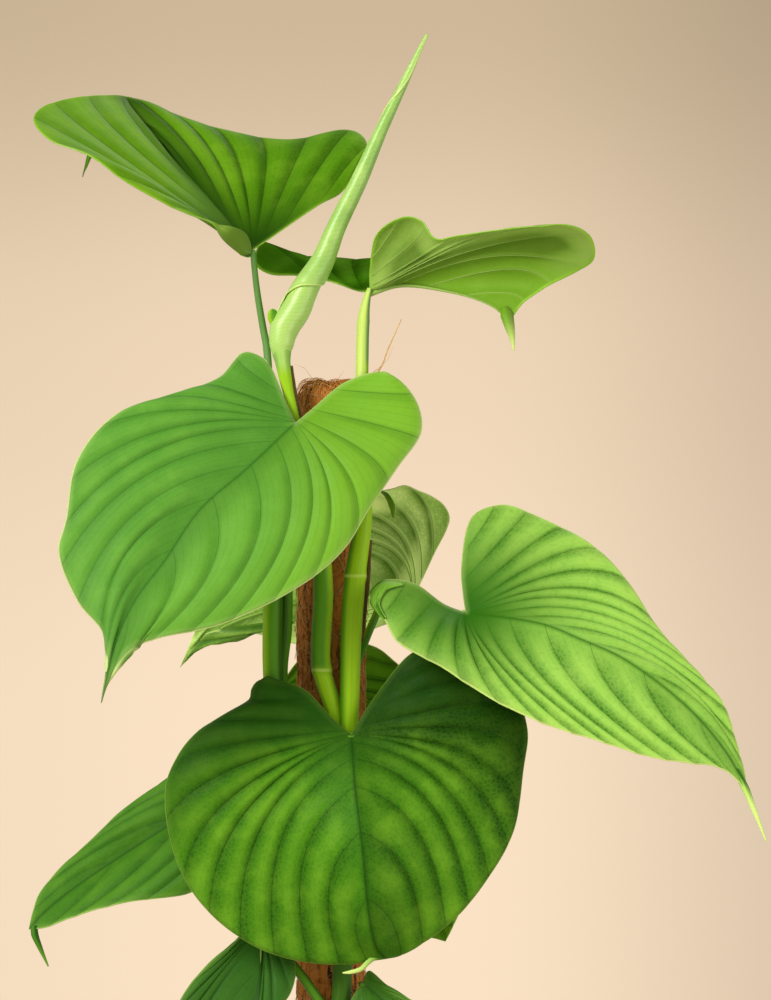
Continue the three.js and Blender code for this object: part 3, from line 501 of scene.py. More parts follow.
class PlantSizes(bpy.types.PropertyGroup):
    """Sizes of the leaves, stalks and the pole's fibres."""
    blade_thickness: bpy.props.FloatProperty(
        name="Blade thickness", description="Thickness of a leaf blade", subtype="DISTANCE",
        unit="LENGTH", default=0.8 * MM, min=0.6 * MM, max=1.5 * MM)
    pleat_scale: bpy.props.FloatProperty(
        name="Pleats", description="How deep the pleats are, compared with the plain model",
        subtype="FACTOR", default=1.0, min=0, max=2)
    rows_per_pleat: bpy.props.IntProperty(
        name="Rows in a pleat", description="Mesh rows between one vein and the next", default=12,
        min=4, max=20)
    columns: bpy.props.IntProperty(
        name="Columns", description="Mesh columns from the midrib to the margin", default=34, min=8,
        max=60)
    rib_radius: bpy.props.FloatProperty(
        name="Rib radius", description="Radius of the side ribs under a blade", subtype="DISTANCE",
        unit="LENGTH", default=0.4 * MM, min=0.2 * MM, max=1.5 * MM)
    strands: bpy.props.IntProperty(
        name="Coir strands", description="Number of loose strands on the pole", default=2300, min=100,
        max=3000)
    strand_radius: bpy.props.FloatProperty(
        name="Strand radius", description="Radius of one coir strand", subtype="DISTANCE",
        unit="LENGTH", default=0.24 * MM, min=0.1 * MM, max=0.6 * MM)
    crumbs: bpy.props.IntProperty(
        name="Soil crumbs", description="Number of bark crumbs and grains on the soil", default=620,
        min=0, max=2000)


class StageSettings(bpy.types.PropertyGroup):
    """Light and floor."""
    key_power: bpy.props.FloatProperty(
        name="Key light", description="Power of the large light at the upper left", unit="POWER",
        default=62, min=0, max=500)
    fill_power: bpy.props.FloatProperty(
        name="Fill light", description="Power of the soft light at the right", unit="POWER",
        default=16, min=0, max=500)
    back_power: bpy.props.FloatProperty(
        name="Back light", description="Power of the light above and behind", unit="POWER",
        default=9, min=0, max=500)
    ambient: bpy.props.FloatProperty(
        name="Ambient light", description="Strength of the light from all round", default=0.42, min=0,
        max=3)
    floor_radius: bpy.props.FloatProperty(
        name="Floor radius", description="Radius of the floor", subtype="DISTANCE", unit="LENGTH",
        default=1.75, min=0.5, max=3)


# Node trees

def put(tree, kind, inputs=(), **settings):
    """Adds a node, sets what is given, and joins or fills its inputs by name or number."""
    made = tree.nodes.new(kind)
    for key, value in settings.items():
        setattr(made, key, value)
    for key, value in dict(inputs).items():
        join(tree, value, made.inputs[key])
    return made


def join(tree, value, socket):
    """Links a socket to a socket, or sets the socket to a plain value."""
    if isinstance(value, bpy.types.NodeSocket):
        tree.links.new(value, socket)
    elif socket.type == "RGBA" and len(value) == 3:
        socket.default_value = (*value, 1)
    else:
        socket.default_value = value


def calc(tree, operation, first, *others):
    """A math operation on one value, or on several from left to right."""
    for other in others or (None,):
        inputs = {0: first} if other is None else {0: first, 1: other}
        first = put(tree, "ShaderNodeMath", inputs, operation=operation).outputs[0]
    return first


def times(tree, *values):
    return calc(tree, "MULTIPLY", *values)


def step(tree, value, low, high, to_low=0.0, to_high=1.0):
    """A smooth step from to_low at low to to_high at high."""
    made = put(tree, "ShaderNodeMapRange", {0: value, 1: low, 2: high, 3: to_low, 4: to_high},
               interpolation_type="SMOOTHSTEP")
    return made.outputs[0]


def fall(tree, value, low, high):
    """A smooth fall from one at low to nothing at high."""
    return step(tree, value, low, high, 1.0, 0.0)


def mix(tree, share, first, second, blend="MIX"):
    """A mix of two colours."""
    made = put(tree, "ShaderNodeMix", {0: share, 6: first, 7: second}, data_type="RGBA",
               blend_type=blend)
    return made.outputs[2]


def noise(tree, vector, scale, detail=3, roughness=0.5, lopsided=0):
    """The value of a noise pattern; vectors are in metres."""
    made = put(tree, "ShaderNodeTexNoise",
               {"Vector": vector, "Scale": scale, "Detail": detail, "Roughness": roughness,
                "Distortion": lopsided})
    return made.outputs[0]


def attribute(tree, name):
    return put(tree, "ShaderNodeAttribute", attribute_name=name).outputs["Fac"]


def own(tree, kind="Object"):
    """The piece's own coordinates: in metres, or its UV map."""
    return put(tree, "ShaderNodeTexCoord").outputs[kind]


def axis(tree, vector, number):
    """One number of a vector."""
    return put(tree, "ShaderNodeSeparateXYZ", {0: vector}).outputs[number]


def stretched(tree, vector, scale):
    """The vector with each axis scaled."""
    return put(tree, "ShaderNodeMapping", {"Vector": vector, "Scale": scale}).outputs[0]


def round_way(tree):
    """How far a place on a tube lies to one side, from -1 to 1."""
    return calc(tree, "SINE", times(tree, axis(tree, own(tree, "UV"), 1), 2 * math.pi))


def group(name, inputs, outputs):
    """A new node group and its inside ends. A socket has its kind given or, for a number, its default."""
    tree = bpy.data.node_groups.new(name, "ShaderNodeTree")
    for way, sockets in (("INPUT", inputs), ("OUTPUT", outputs)):
        for key, given in sockets.items():
            kind = "Float" if isinstance(given, float) else given
            socket = tree.interface.new_socket(name=key, in_out=way, socket_type="NodeSocket" + kind)
            if isinstance(given, float):
                socket.default_value = given
    return tree, tree.nodes.new("NodeGroupInput").outputs, tree.nodes.new("NodeGroupOutput").inputs


def use(tree, shared, inputs):
    """Places a node group and fills its inputs."""
    return put(tree, "ShaderNodeGroup", inputs, node_tree=shared).outputs


def finish_material(name, look, bump=0.3, reach=0.4 * MM, through=0, **uniform):
    """A material whose colour, roughness and height come from its look, a function of the node tree.

    through is the share of its own colour that it gives off as emission: painted light that stands for light
    passing through a thin leaf from behind.
    """
    made = bpy.data.materials.new(name)
    made.use_nodes = True
    tree = made.node_tree
    colour, roughness, height = look(tree)
    relief = put(tree, "ShaderNodeBump", {"Height": height, "Strength": bump, "Distance": reach})
    values = {"Base Color": colour, "Roughness": roughness, "Normal": relief.outputs[0]}
    # Painted light: the surface gives off its own colour, as a thin leaf lit from behind would
    if through:
        values.update({"Emission Color": colour, "Emission Strength": through})
    values.update({key.replace("_", " "): value for key, value in uniform.items()})
    for key, value in values.items():
        join(tree, value, tree.nodes["Principled BSDF"].inputs[key])
    return made


def mottle_group():
    """Soft clouds and fine flecks over any grown surface: a value round 0.5."""
    tree, start, end = group("Mottling", {"Vector": "Vector", "Cloud scale": 45.0, "Fleck scale": 260.0},
                             {"Clouds": "Float", "Flecks": "Float"})
    join(tree, noise(tree, start["Vector"], start["Cloud scale"], 4, 0.55), end["Clouds"])
    join(tree, noise(tree, start["Vector"], start["Fleck scale"], 3, 0.6), end["Flecks"])
    return tree


def leaf_group(mottling):
    """The pattern of a blade: pleats, veins, midrib, net of small veins and margin, with painted light and
    shade.
    """
    tree, start, end = group("Leaf pattern", {
        "Vector": "Vector", "Base": "Color", "Lit or shaded half": "Color", "Groove": "Color", "Crest": "Color",
        "Vein": "Color", "Margin": "Color", "Net": "Color", "Glow": "Color",
        "Vein number": 0.0, "Vein share": 1.0, "Vein gap": 9.0, "Midrib gap": 9.0, "Edge gap": 9.0,
        "Joint gap": 1.0, "Half": 0.0, "Pleating": 1.0,
        "Half share": 0.0, "Joint shade": 0.4, "Lobe shade": 0.0, "Midrib shade": 0.0, "Tip shade": 0.0,
        "Crests": 0.5, "Grooves": 0.5, "Groove width": 0.62, "Soft half": 0.0, "Mottle": 0.3,
        "Net share": 1.0, "Vein width": 0.5, "Vein strength": 0.5, "Margin width": 0.8,
        "Lit band": 0.0, "Belly shade": 0.0, "Glow share": 0.0,
    }, {"Color": "Color", "Height": "Float", "Uneven": "Float"})
    spots = use(tree, mottling, {"Vector": start["Vector"]})
    number, share, margin = start["Vein number"], start["Vein share"], start["Edge gap"]
    # Painted light and shade: one half of the blade lit or shaded more than the other, most of all near the
    # joint
    side = times(tree, start["Half"], start["Half share"], step(tree, share, 0.3, 0.7, 1.0, 0.2))
    # Pleats: painted shade beyond each vein, painted light along the crest that rises to the next one
    between = calc(tree, "FRACT", number)
    wave = calc(tree, "SINE", times(tree, calc(tree, "POWER", between, 1.45), math.pi))
    crest = times(tree, calc(tree, "POWER", wave, 2.2), start["Crests"], start["Pleating"],
                  step(tree, spots["Clouds"], 0.32, 0.66, 0.6, 1.0), step(tree, side, 0.0, 1.0, 1.0, 0.3))
    beyond = fall(tree, between, 0.0, times(tree, start["Groove width"], 0.62))
    before = step(tree, between, calc(tree, "SUBTRACT", 1.0, times(tree, start["Groove width"], 0.16)), 1.0)
    soft = times(tree, calc(tree, "SUBTRACT", 1.0, start["Half"]), start["Soft half"])
    groove = times(tree, calc(tree, "MAXIMUM", beyond, before), start["Grooves"],
                   calc(tree, "POWER", start["Pleating"], 0.6), calc(tree, "SUBTRACT", 1.0, soft))
    # Small side veins, parallel with the main ones, and the net between them
    fine = calc(tree, "ABSOLUTE", calc(tree, "SINE", times(tree, number, math.pi * 5)))
    line = fall(tree, fine, 0.0, 0.34)
    cells = put(tree, "ShaderNodeTexVoronoi", {"Vector": start["Vector"], "Scale": 330.0},
                feature="DISTANCE_TO_EDGE").outputs["Distance"]
    net = fall(tree, cells, 0.02, 0.24)
    meshes = times(tree, net, start["Net share"], start["Mottle"], 0.35)
    # Clouds and flecks
    cloudy = times(tree, step(tree, spots["Clouds"], 0.4, 0.72), start["Mottle"])
    dim = times(tree, step(tree, spots["Flecks"], 0.52, 0.32), start["Mottle"], 0.35)
    # Painted shade round the joint and, on some leaves, along the midrib, over the lobes or at the tip
    near = calc(tree, "POWER", fall(tree, start["Joint gap"], 0.0, 0.5), 1.3)
    along = times(tree, fall(tree, start["Midrib gap"], 0.0, 26.0), start["Midrib shade"],
                  step(tree, start["Half"], 0.0, 1.0, 0.6, 1.0))
    shade = calc(tree, "MAXIMUM", times(tree, near, start["Joint shade"]), along,
                 times(tree, step(tree, share, 0.94, 1.0), start["Tip shade"]),
                 times(tree, fall(tree, share, 0.16, 0.5), start["Lobe shade"]))
    # An underside that curls forward: painted light along the margin, painted shade behind it, and near the
    # tip painted light as if through the leaf
    middle = times(tree, step(tree, share, 0.1, 0.26), fall(tree, share, 0.6, 0.82))
    glow = times(tree, step(tree, share, 0.45, 0.8), start["Glow share"])
    belly = times(tree, step(tree, margin, 13.0, 20.0), step(tree, margin, 30.0, 80.0, 1.0, 0.15), middle,
                  start["Belly shade"])
    band = times(tree, fall(tree, margin, 7.0, 20.0), middle, start["Lit band"])
    # Main veins and midrib
    vein = times(tree, fall(tree, start["Vein gap"], 0.0, start["Vein width"]), start["Vein strength"])
    furrow = times(tree, step(tree, start["Midrib gap"], 0.6, 3.4, 0.55, 0.0), start["Grooves"])
    spine = times(tree, fall(tree, start["Midrib gap"], 0.45, 1.1), start["Vein strength"])
    # Margin, which fades at the tip and near the joint
    warm = step(tree, margin, 0.8, 4.5, 0.14, 0.0)
    rim = times(tree, fall(tree, margin, times(tree, start["Margin width"], 0.4), start["Margin width"]),
                step(tree, share, 0.9, 0.98, 1.0, 0.1), step(tree, start["Joint gap"], 0.05, 0.4, 0.35, 1.0),
                0.8)
    colour = start["Base"]
    for strength, coat in ((side, "Lit or shaded half"), (crest, "Crest"), (groove, "Groove"),
                           (times(tree, line, 0.16), "Groove"), (meshes, "Net"), (cloudy, "Crest"),
                           (dim, "Groove"), (shade, "Groove"), (glow, "Glow"), (belly, "Groove"),
                           (band, "Crest"), (vein, "Vein"), (furrow, "Groove"), (spine, "Vein"),
                           (warm, "Margin"), (rim, "Margin")):
        colour = mix(tree, strength, colour, start[coat])
    join(tree, colour, end["Color"])
    height = calc(tree, "SUBTRACT", times(tree, spots["Flecks"], 0.8), times(tree, line, 0.35),
                  times(tree, net, 0.3))
    join(tree, height, end["Height"])
    join(tree, spots["Flecks"], end["Uneven"])
    return tree


def fibre_group():
    """Long fine streaks along a strand or a sheet of fibre, from its own UV map."""
    tree, start, end = group("Fibre", {"Vector": "Vector", "Dark": "Color", "Middle": "Color",
                                       "Light": "Color"}, {"Color": "Color", "Height": "Float"})
    streak = noise(tree, start["Vector"], 1.0, detail=5, roughness=0.65, lopsided=0.3)
    colour = mix(tree, step(tree, streak, 0.34, 0.5), start["Dark"], start["Middle"])
    colour = mix(tree, step(tree, streak, 0.54, 0.7), colour, start["Light"])
    join(tree, colour, end["Color"])
    join(tree, streak, end["Height"])
    return tree


class Finishes:
    """Makes each material once and keeps it."""

    def __init__(self, colours):
        self.colours = colours
        self.mottling = mottle_group()
        self.leaf = leaf_group(self.mottling)
        self.fibre = fibre_group()
        self.made = {}

    def colour(self, key):
        return tuple(getattr(self.colours, key))

    def once(self, name, look, **finish):
        """The material of that name, made the first time that it is asked for."""
        if name not in self.made:
            self.made[name] = finish_material(name, look, **finish)
        return self.made[name]

    def blade(self, tone, upper):
        """The material of one side of a blade."""
        values = TONES[tone]
        base = values.get("under", "under")
        if upper or base == tone + "_upper":
            base, groove, crest, vein = (tone + part for part in ("_upper", "_groove", "_crest", "_groove"))
        else:
            groove, crest, vein = base + "_groove", base + "_rib", base + "_rib"
        keys = {"Base": base, "Groove": groove, "Crest": crest, "Vein": vein, "Margin": tone + "_edge",
                "Lit or shaded half": values.get("other", base), "Net": values.get("net_colour", crest),
                "Glow": "under_glow"}

        def look(tree):
            inputs = {socket: self.colour(key) for socket, key in keys.items()}
            inputs["Vector"] = own(tree)
            for name in BLADE_VALUES:
                inputs[name.replace("_", " ").capitalize()] = attribute(tree, name)
            for socket, (key, plain, above, below) in TONE_SOCKETS.items():
                inputs[socket] = values.get(key, plain) * (above if upper else below)
            if not upper and "under" not in values:
                inputs["Crests"] *= 0.5
                inputs["Grooves"] *= 0.6
            inputs["Vein width"] = 0.55 if upper else 2.6
            inputs["Vein strength"] = 0.6 if upper else values.get("under_veins", 0.5)
            made = use(tree, self.leaf, inputs)
            low, high = (0.46, 0.6) if upper else (0.55, 0.68)
            return made["Color"], step(tree, made["Uneven"], 0.3, 0.7, low, high), made["Height"]

        return self.once(f"{tone}_{'upper' if upper else 'under'}_blade", look, bump=0.5, reach=0.12 * MM,
                         through=0 if upper else values.get("through", 0),
                         Specular_IOR_Level=values.get("shine", 0.12) if upper else 0.07)

    def stalk(self, leaf):
        """A smooth stalk with long streaks, whose sides are painted lit and shaded, with painted light and
        shade that change with the height.
        """
        leaf = leaf if leaf in STALK_TONES else ""

        def look(tree):
            streak = noise(tree, stretched(tree, own(tree, "UV"), (4, 9, 1)), 1.0, roughness=0.55)
            right, height = round_way(tree), axis(tree, own(tree), 2)
            mixed = None
            for start, keys in STALK_TONES[leaf]:
                left_side, front, right_side = (self.colour(key) for key in keys)
                here = mix(tree, step(tree, right, 0.15, 0.9), front, right_side)
                here = mix(tree, step(tree, right, -0.15, -0.9), here, left_side)
                reached = step(tree, height, start - 0.006, start + 0.006)
                mixed = here if mixed is None else mix(tree, reached, mixed, here)
            mixed = mix(tree, step(tree, streak, 0.35, 0.65, 0.3, 0.0), mixed, self.colour("stalk_shade"))
            if leaf in STALK_RINGS:
                away = calc(tree, "ABSOLUTE", calc(tree, "SUBTRACT", height, STALK_RINGS[leaf]))
                mixed = mix(tree, step(tree, away, 0.0005, 0.0016, 0.42, 0.0), mixed,
                            self.colour("stalk_pale"))
            return mixed, step(tree, streak, 0.3, 0.7, 0.5, 0.4), streak

        return self.once("stalk_" + (leaf or "plain"), look, bump=0.1, reach=0.15 * MM,
                         Specular_IOR_Level=0.2)

    def rib(self, tone):
        key = TONES[tone].get("rib", "under_rib")
        return self.streaked(key + "_rib", (key, key, key), (60, 3, 1), 0.5, Specular_IOR_Level=0.15)

    def drip(self, tone):
        """The rolled tail at a blade's tip: the blade's own colour runs out to a pale end."""
        def look(tree):
            dark, body, end = (self.colour(key) for key in DRIP_TONES[tone])
            # One side of the tail is painted in shade
            body = mix(tree, step(tree, round_way(tree), -0.7, 0.3), dark, body)
            run = axis(tree, own(tree, "UV"), 0)
            rough = step(tree, noise(tree, own(tree), 300.0), 0.3, 0.7, 0.5, 0.4)
            return mix(tree, step(tree, run, 0.006, 0.034), body, end), rough, noise(tree, own(tree), 500.0)

        return self.once(tone + "_drip", look, bump=0.1, Specular_IOR_Level=0.15)

    def rolled(self):
        """The rolled leaf's outer side: slanting veins, pale bands, a few dark specks and a painted highlight
        on its free edge.
        """
        def look(tree):
            base, pale, line = (self.colour(key) for key in ("rolled", "rolled_pale", "rolled_line"))
            run = times(tree, axis(tree, own(tree, "UV"), 0), 2 * math.pi * 120)
            lines = calc(tree, "ABSOLUTE", calc(tree, "SINE", run))
            clouds = use(tree, self.mottling, {"Vector": own(tree), "Cloud scale": 40.0})
            mixed = mix(tree, step(tree, clouds["Clouds"], 0.36, 0.72, 0.1, 0.8), base, pale)
            mixed = mix(tree, step(tree, axis(tree, own(tree), 2), 0.815, 0.77, 0.0, 0.75), mixed, pale)
            mixed = mix(tree, step(tree, lines, 0.5, 0.0, 0.0, 0.2), mixed, line)
            mixed = mix(tree, step(tree, clouds["Flecks"], 0.3, 0.24, 0.0, 0.5), mixed, line)
            # The free edge: its pale margin, brightened further as a painted highlight
            near = step(tree, attribute(tree, "edge_gap"), 0.4, 1.8, 0.8, 0.0)
            return mix(tree, near, mixed, self.colour("lime_edge")), step(tree, lines, 0, 1, 0.36, 0.3), lines

        return self.once("rolled_leaf", look, bump=0.12, reach=0.2 * MM, Specular_IOR_Level=0.5)

    def edge(self, tone):
        """The cut margin of a blade."""
        key = tone + "_edge"
        return self.streaked(tone + "_margin", (key, key, "stalk_pale"), (900, 900, 900), 0.4, "Object")

    def streaked(self, name, keys, scale, rough, source="UV", bump=0.25, reach=0.15 * MM, **uniform):
        """A material with streaks in three colours, along the UV map or the object."""
        def look(tree):
            inputs = {socket: self.colour(key) for socket, key in zip(("Dark", "Middle", "Light"), keys)}
            inputs["Vector"] = stretched(tree, own(tree, source), scale)
            made = use(tree, self.fibre, inputs)
            uneven = step(tree, made["Height"], 0.3, 0.7, rough + 0.1, rough - 0.05)
            return made["Color"], uneven, made["Height"]

        return self.once(name, look, bump=bump, reach=reach, **uniform)


# Curves and sheets in millimetres

def seen(point):
    """Carries a point drawn in the pole's plane to its depth along the line of sight."""
    x, depth, z = point
    grow = (EYE_DISTANCE + depth) / EYE_DISTANCE
    return (EYE_X + (x - EYE_X) * grow, depth, EYE_Z + (z - EYE_Z) * grow)


class SmoothCurve:
    """A centripetal curve through points, measured along its length."""
    SPAN = 40

    def __init__(self, points):
        given = [np.array(p, float) for p in points]
        ends = [2 * given[0] - given[1], *given, 2 * given[-1] - given[-2]]
        made = [self.span(*ends[k - 1:k + 3])[:-1] for k in range(1, len(ends) - 2)]
        self.places = np.concatenate([*made, [given[-1]]])
        run = np.linalg.norm(np.diff(self.places, axis=0), axis=1)
        self.length = run.sum()
        self.shares = np.concatenate([[0], np.cumsum(run)]) / self.length

    def span(self, before, start, end, after):
        """Points of the stretch between start and end."""
        gaps = [max(1e-4, np.sum((b - a) ** 2) ** 0.25)
                for a, b in ((before, start), (start, end), (end, after))]
        leave = ((start - before) / gaps[0] - (end - before) / (gaps[0] + gaps[1])
                 + (end - start) / gaps[1]) * gaps[1]
        arrive = ((end - start) / gaps[1] - (after - start) / (gaps[1] + gaps[2])
                  + (after - end) / gaps[2]) * gaps[1]
        u = np.linspace(0, 1, self.SPAN + 1)[:, None]
        return (start + leave * u + (3 * (end - start) - 2 * leave - arrive) * u ** 2
                + (2 * (start - end) + leave + arrive) * u ** 3)

    def at(self, share):
        """The place or places at shares of the length."""
        return np.stack([np.interp(share, self.shares, self.places[:, k]) for k in range(3)], -1)

    def values(self, share, given):
        """The values given at the curve's points, at shares of its length."""
        numbers = np.interp(share, self.shares, np.arange(len(self.shares)) / self.SPAN)
        return np.interp(numbers, np.arange(len(given)), given)

    def share_of(self, number):
        return self.shares[number * self.SPAN]


def drawn(points):
    return SmoothCurve([seen(p) for p in points])


def ease(value, low, high):
    t = np.clip((value - low) / (high - low), 0, 1)
    return t * t * (3 - 2 * t)


def bump_at(values, centre, width):
    """A smooth hump of height one round the centre."""
    return np.exp(-((values - centre) / width) ** 2)


def unit(vectors):
    size = np.linalg.norm(vectors, axis=-1, keepdims=True)
    return vectors / np.maximum(size, 1e-9)


def grid(first, second):
    """Every pair of the two rows of numbers, as a grid."""
    return np.stack(np.meshgrid(first, second, indexing="ij"), -1)


def nearest(points, line):
    """The distance of each point from a line given by many points."""
    flat = points.reshape(-1, 3)
    best = np.full(len(flat), 1e9)
    for start, end in zip(line[:-1], line[1:]):
        run = end - start
        share = np.clip((flat - start) @ run / max(1e-9, run @ run), 0, 1)
        best = np.minimum(best, np.sum((flat - start - share[:, None] * run) ** 2, axis=1))
    return np.sqrt(best).reshape(points.shape[:-1])


def frames(places):
    """Two directions across a line, carried along it without twist; the first starts towards the front."""
    tangents = unit(np.gradient(places, axis=0))
    normals = []
    last = np.array((0.0, -1.0, 0.0))
    for tangent in tangents:
        last = last - tangent * np.dot(last, tangent)
        last = last / np.linalg.norm(last)
        normals.append(last)
    normals = np.array(normals)
    return normals, np.cross(tangents, normals)


def round_line(places, angle, reach):
    """Points round a line, at angles from its front and at a reach from it."""
    out, side = frames(places)
    ring = out[:, None] * np.cos(angle)[..., None] + side[:, None] * np.sin(angle)[..., None]
    return places[:, None] + ring * reach[..., None]


def ring_angles(sides):
    """The angles of the corners round a tube, from its front back to its front."""
    return np.linspace(0, 2 * math.pi, sides + 1)


# Meshes

def settle(name, data, materials=()):
    """Puts a finished mesh, or a light, camera or curve, into the scene as an object."""
    if isinstance(data, bmesh.types.BMesh):
        mesh = bpy.data.meshes.new(name)
        data.to_mesh(mesh)
        data.free()
        data = mesh
    for material in materials:
        data.materials.append(material)
    thing = bpy.data.objects.new(name, data)
    bpy.context.scene.collection.objects.link(thing)
    return thing


class Weave:
    """Collects grids of points into one mesh."""

    def __init__(self, names=()):
        self.mesh = bmesh.new()
        self.uv = self.mesh.loops.layers.uv.new("UVMap")
        self.layers = {name: self.mesh.verts.layers.float.new(name) for name in names}

    def sheet(self, points, uv=None, material=0, turned=False, **values):
        """Adds a grid whose corners go to the points, in millimetres, with values for each corner."""
        rows, columns = points.shape[:2]
        made = bmesh.ops.create_grid(self.mesh, x_segments=rows - 1, y_segments=columns - 1, size=0.5)
        places = {}
        for corner in made["verts"]:
            i = round((corner.co.x + 0.5) * (rows - 1))
            j = round((corner.co.y + 0.5) * (columns - 1))
            places[corner] = (i, j)
        if uv is None:
            uv = grid(np.linspace(0, 1, rows), np.linspace(0, 1, columns))
        faces = {face for corner in made["verts"] for face in corner.link_faces}
        for face in faces:
            face.material_index = material
            face.smooth = True
            for loop in face.loops:
                loop[self.uv].uv = uv[places[loop.vert]]
        for corner, place in places.items():
            corner.co = points[place] * MM
            for name, numbers in values.items():
                corner[self.layers[name]] = float(numbers[place])
        if turned:
            bmesh.ops.reverse_faces(self.mesh, faces=list(faces))

    def tube(self, places, radius, sides, material=0):
        """Adds a closed tube round a line. radius is a number for each place, or for each place and side."""
        radius = np.asarray(radius, float)
        if radius.ndim == 1:
            radius = np.repeat(radius[:, None], sides + 1, axis=1)
        points = round_line(places, ring_angles(sides), radius)
        caps = [np.repeat(places[k][None, None], sides + 1, axis=1) for k in (0, -1)]
        # The UV map runs in metres along the tube, and from 0 to 1 round it
        run = np.concatenate([[0], np.cumsum(np.linalg.norm(np.diff(places, axis=0), axis=1))]) * MM
        run = np.concatenate([run[:1], run, run[-1:]])
        self.sheet(np.concatenate([caps[0], points, caps[1]]), grid(run, np.linspace(0, 1, sides + 1)),
                   material)

    def made(self, name, materials, merge=1e-3, outwards=False):
        """Merges what touches and returns the finished object, in metres."""
        bmesh.ops.remove_doubles(self.mesh, verts=self.mesh.verts, dist=merge * MM)
        bmesh.ops.dissolve_degenerate(self.mesh, edges=self.mesh.edges, dist=1e-4 * MM)
        if outwards:
            bmesh.ops.recalc_face_normals(self.mesh, faces=self.mesh.faces)
        return settle(name, self.mesh, materials)


def dress(piece, slot, *nodes):
    """Says what a finished piece rides on and stands for; its slot is not used."""
    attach(piece, BODY)
    if nodes:
        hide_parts(*nodes)


def thicken(piece, thickness):
    """Gives a sheet its thickness, with the second material below and the third on the rim."""
    wall = piece.modifiers.new("Thickness", "SOLIDIFY")
    wall.thickness = thickness
    wall.offset = 0
    wall.material_offset = 1
    wall.material_offset_rim = 2


# Leaves

class Blade:
    """The two halves of one leaf blade as grids of points, in millimetres."""

    def __init__(self, leaf, sizes):
        self.leaf = {**VEINS, **leaf}
        self.midrib = drawn([leaf["joint"], *leaf["midrib"], leaf["tip"]])
        self.pleats = leaf["pleats"]
        self.lobe_pleats = int(self.pleats * LOBE_SHARE + 0.5)
        self.rows_per_pleat = sizes.rows_per_pleat
        self.numbers = np.linspace(0, self.pleats, self.pleats * self.rows_per_pleat + 1)
        self.across = np.linspace(0, 1, sizes.columns + 1)
        self.depth = leaf["pleat_depth"] * sizes.pleat_scale
        self.halves = [self.half(0, "left", 1), self.half(1, "right", -1)]
        up = sum(half["up"].sum(axis=(0, 1)) for half in self.halves)
        sign = math.copysign(1, np.dot(up, leaf["faces"]))
        for half in self.halves:
            half["up"] = half["up"] * sign
            half["turned"] = sign * half["sense"] < 0
            half["points"] = half["plain"] + half["up"] * half["lift"][..., None]

    def half(self, number, side, sense):
        """One half: its plain points, normals and lift, and the values of each corner."""
        leaf, p = self.leaf, self.numbers
        margin = drawn([leaf["joint"], *leaf[side], leaf["tip"]])
        turn = margin.share_of(leaf["lobes"][number])

        def outer(share):
            return margin.at(np.minimum(1, turn + (1 - turn) * share))

        # A vein starts on the lobe's inner edge or, beyond the joint, on the midrib
        back = np.clip((self.lobe_pleats - p) / self.lobe_pleats, 0, None) ** LOBE_POWER
        w = np.clip((p - self.lobe_pleats) / (self.pleats - self.lobe_pleats), 0, 1)
        along = w ** leaf["start_power"]
        start = np.where((back > 0)[:, None], margin.at(turn * back), self.midrib.at(along))
        # It sweeps to the outer margin and bulges towards the margin abreast of its start
        joint_end = leaf["joint_end"]
        reach = np.where(p < self.lobe_pleats,
                         joint_end * np.clip(p / self.lobe_pleats, 0, 1) ** leaf["lobe_end_power"],
                         joint_end + (1 - joint_end) * (1 - (1 - w) ** END_POWER))
        end = outer(reach)
        abreast = leaf["joint_abreast"] * (1 - back) + (1 - leaf["joint_abreast"]) * along
        bulge = (BULGE_AT_JOINT + (leaf["tip_bulge"] - BULGE_AT_JOINT) * w)[:, None]
        bend = start + (outer(abreast + (reach - abreast) * leaf["forward"]) - start) * bulge
        plain = arc(start[:, None], bend[:, None], end[:, None], self.across[None, :, None])
        by_row, by_column = np.gradient(plain, axis=(0, 1))
        lift, pleating = self.relief(np.linalg.norm(end - start, axis=1), leaf["cup"][number])
        spacing = np.linalg.norm(by_row, axis=-1) / np.gradient(p)[:, None]
        rows = np.repeat(p[:, None], len(self.across), axis=1)
        joint, tip = np.array(seen(leaf["joint"])), np.array(seen(leaf["tip"]))
        values = {
            "vein_number": rows, "vein_share": rows / self.pleats,
            "vein_gap": np.abs(rows - np.round(rows)) * spacing,
            "midrib_gap": nearest(plain, self.midrib.places[::MIDRIB_STRIDE]),
            "edge_gap": nearest(plain, margin.places[::MARGIN_STRIDE]),
            "joint_gap": np.linalg.norm(plain - joint, axis=-1) / np.linalg.norm(tip - joint),
            "half": np.full(rows.shape, number), "pleating": pleating}
        return {"plain": plain, "up": unit(np.cross(by_row, by_column)) * sense, "sense": sense,
                "lift": lift, "values": values}

    def relief(self, length, cup):
        """The broad cup and the pleats between veins, as in the plain model, and how pleated it is."""
        q = self.numbers / self.pleats
        fade = np.minimum(1, np.minimum(q / PLEATS_FROM, (length / FULL_VEIN) ** 1.4))
        # A vein starts smoothly at the midrib
        pleating = (fade * (1 - ease(q, *TIP_FADE)))[:, None] * ease(self.across, 0, SMOOTH_START)
        # Between two veins the crest itself carries a faint second fold
        crest, fold = (np.abs(np.sin(k * math.pi * self.numbers)) ** CREST_POWER for k in (1, 2))
        pleats = self.depth * (crest + SECOND_FOLD * fold)[:, None] * pleating
        broad = cup * np.sin(math.pi * (0.1 + 0.9 * q))[:, None]
        return (broad + pleats) * np.sin(math.pi * 0.93 * self.across), pleating

    def weave(self, name, materials):
        """The blade's mesh, both halves merged along the midrib, facing its upper side."""
        made = Weave(BLADE_VALUES)
        for half in self.halves:
            made.sheet(half["points"], turned=half["turned"], **half["values"])
        return made.made(name, materials, merge=0.01)


def arc(start, bend, end, s):
    """Places at s along the curve that leaves start towards bend and arrives at end from there."""
    return start * (1 - s) ** 2 + 2 * bend * s * (1 - s) + end * s ** 2


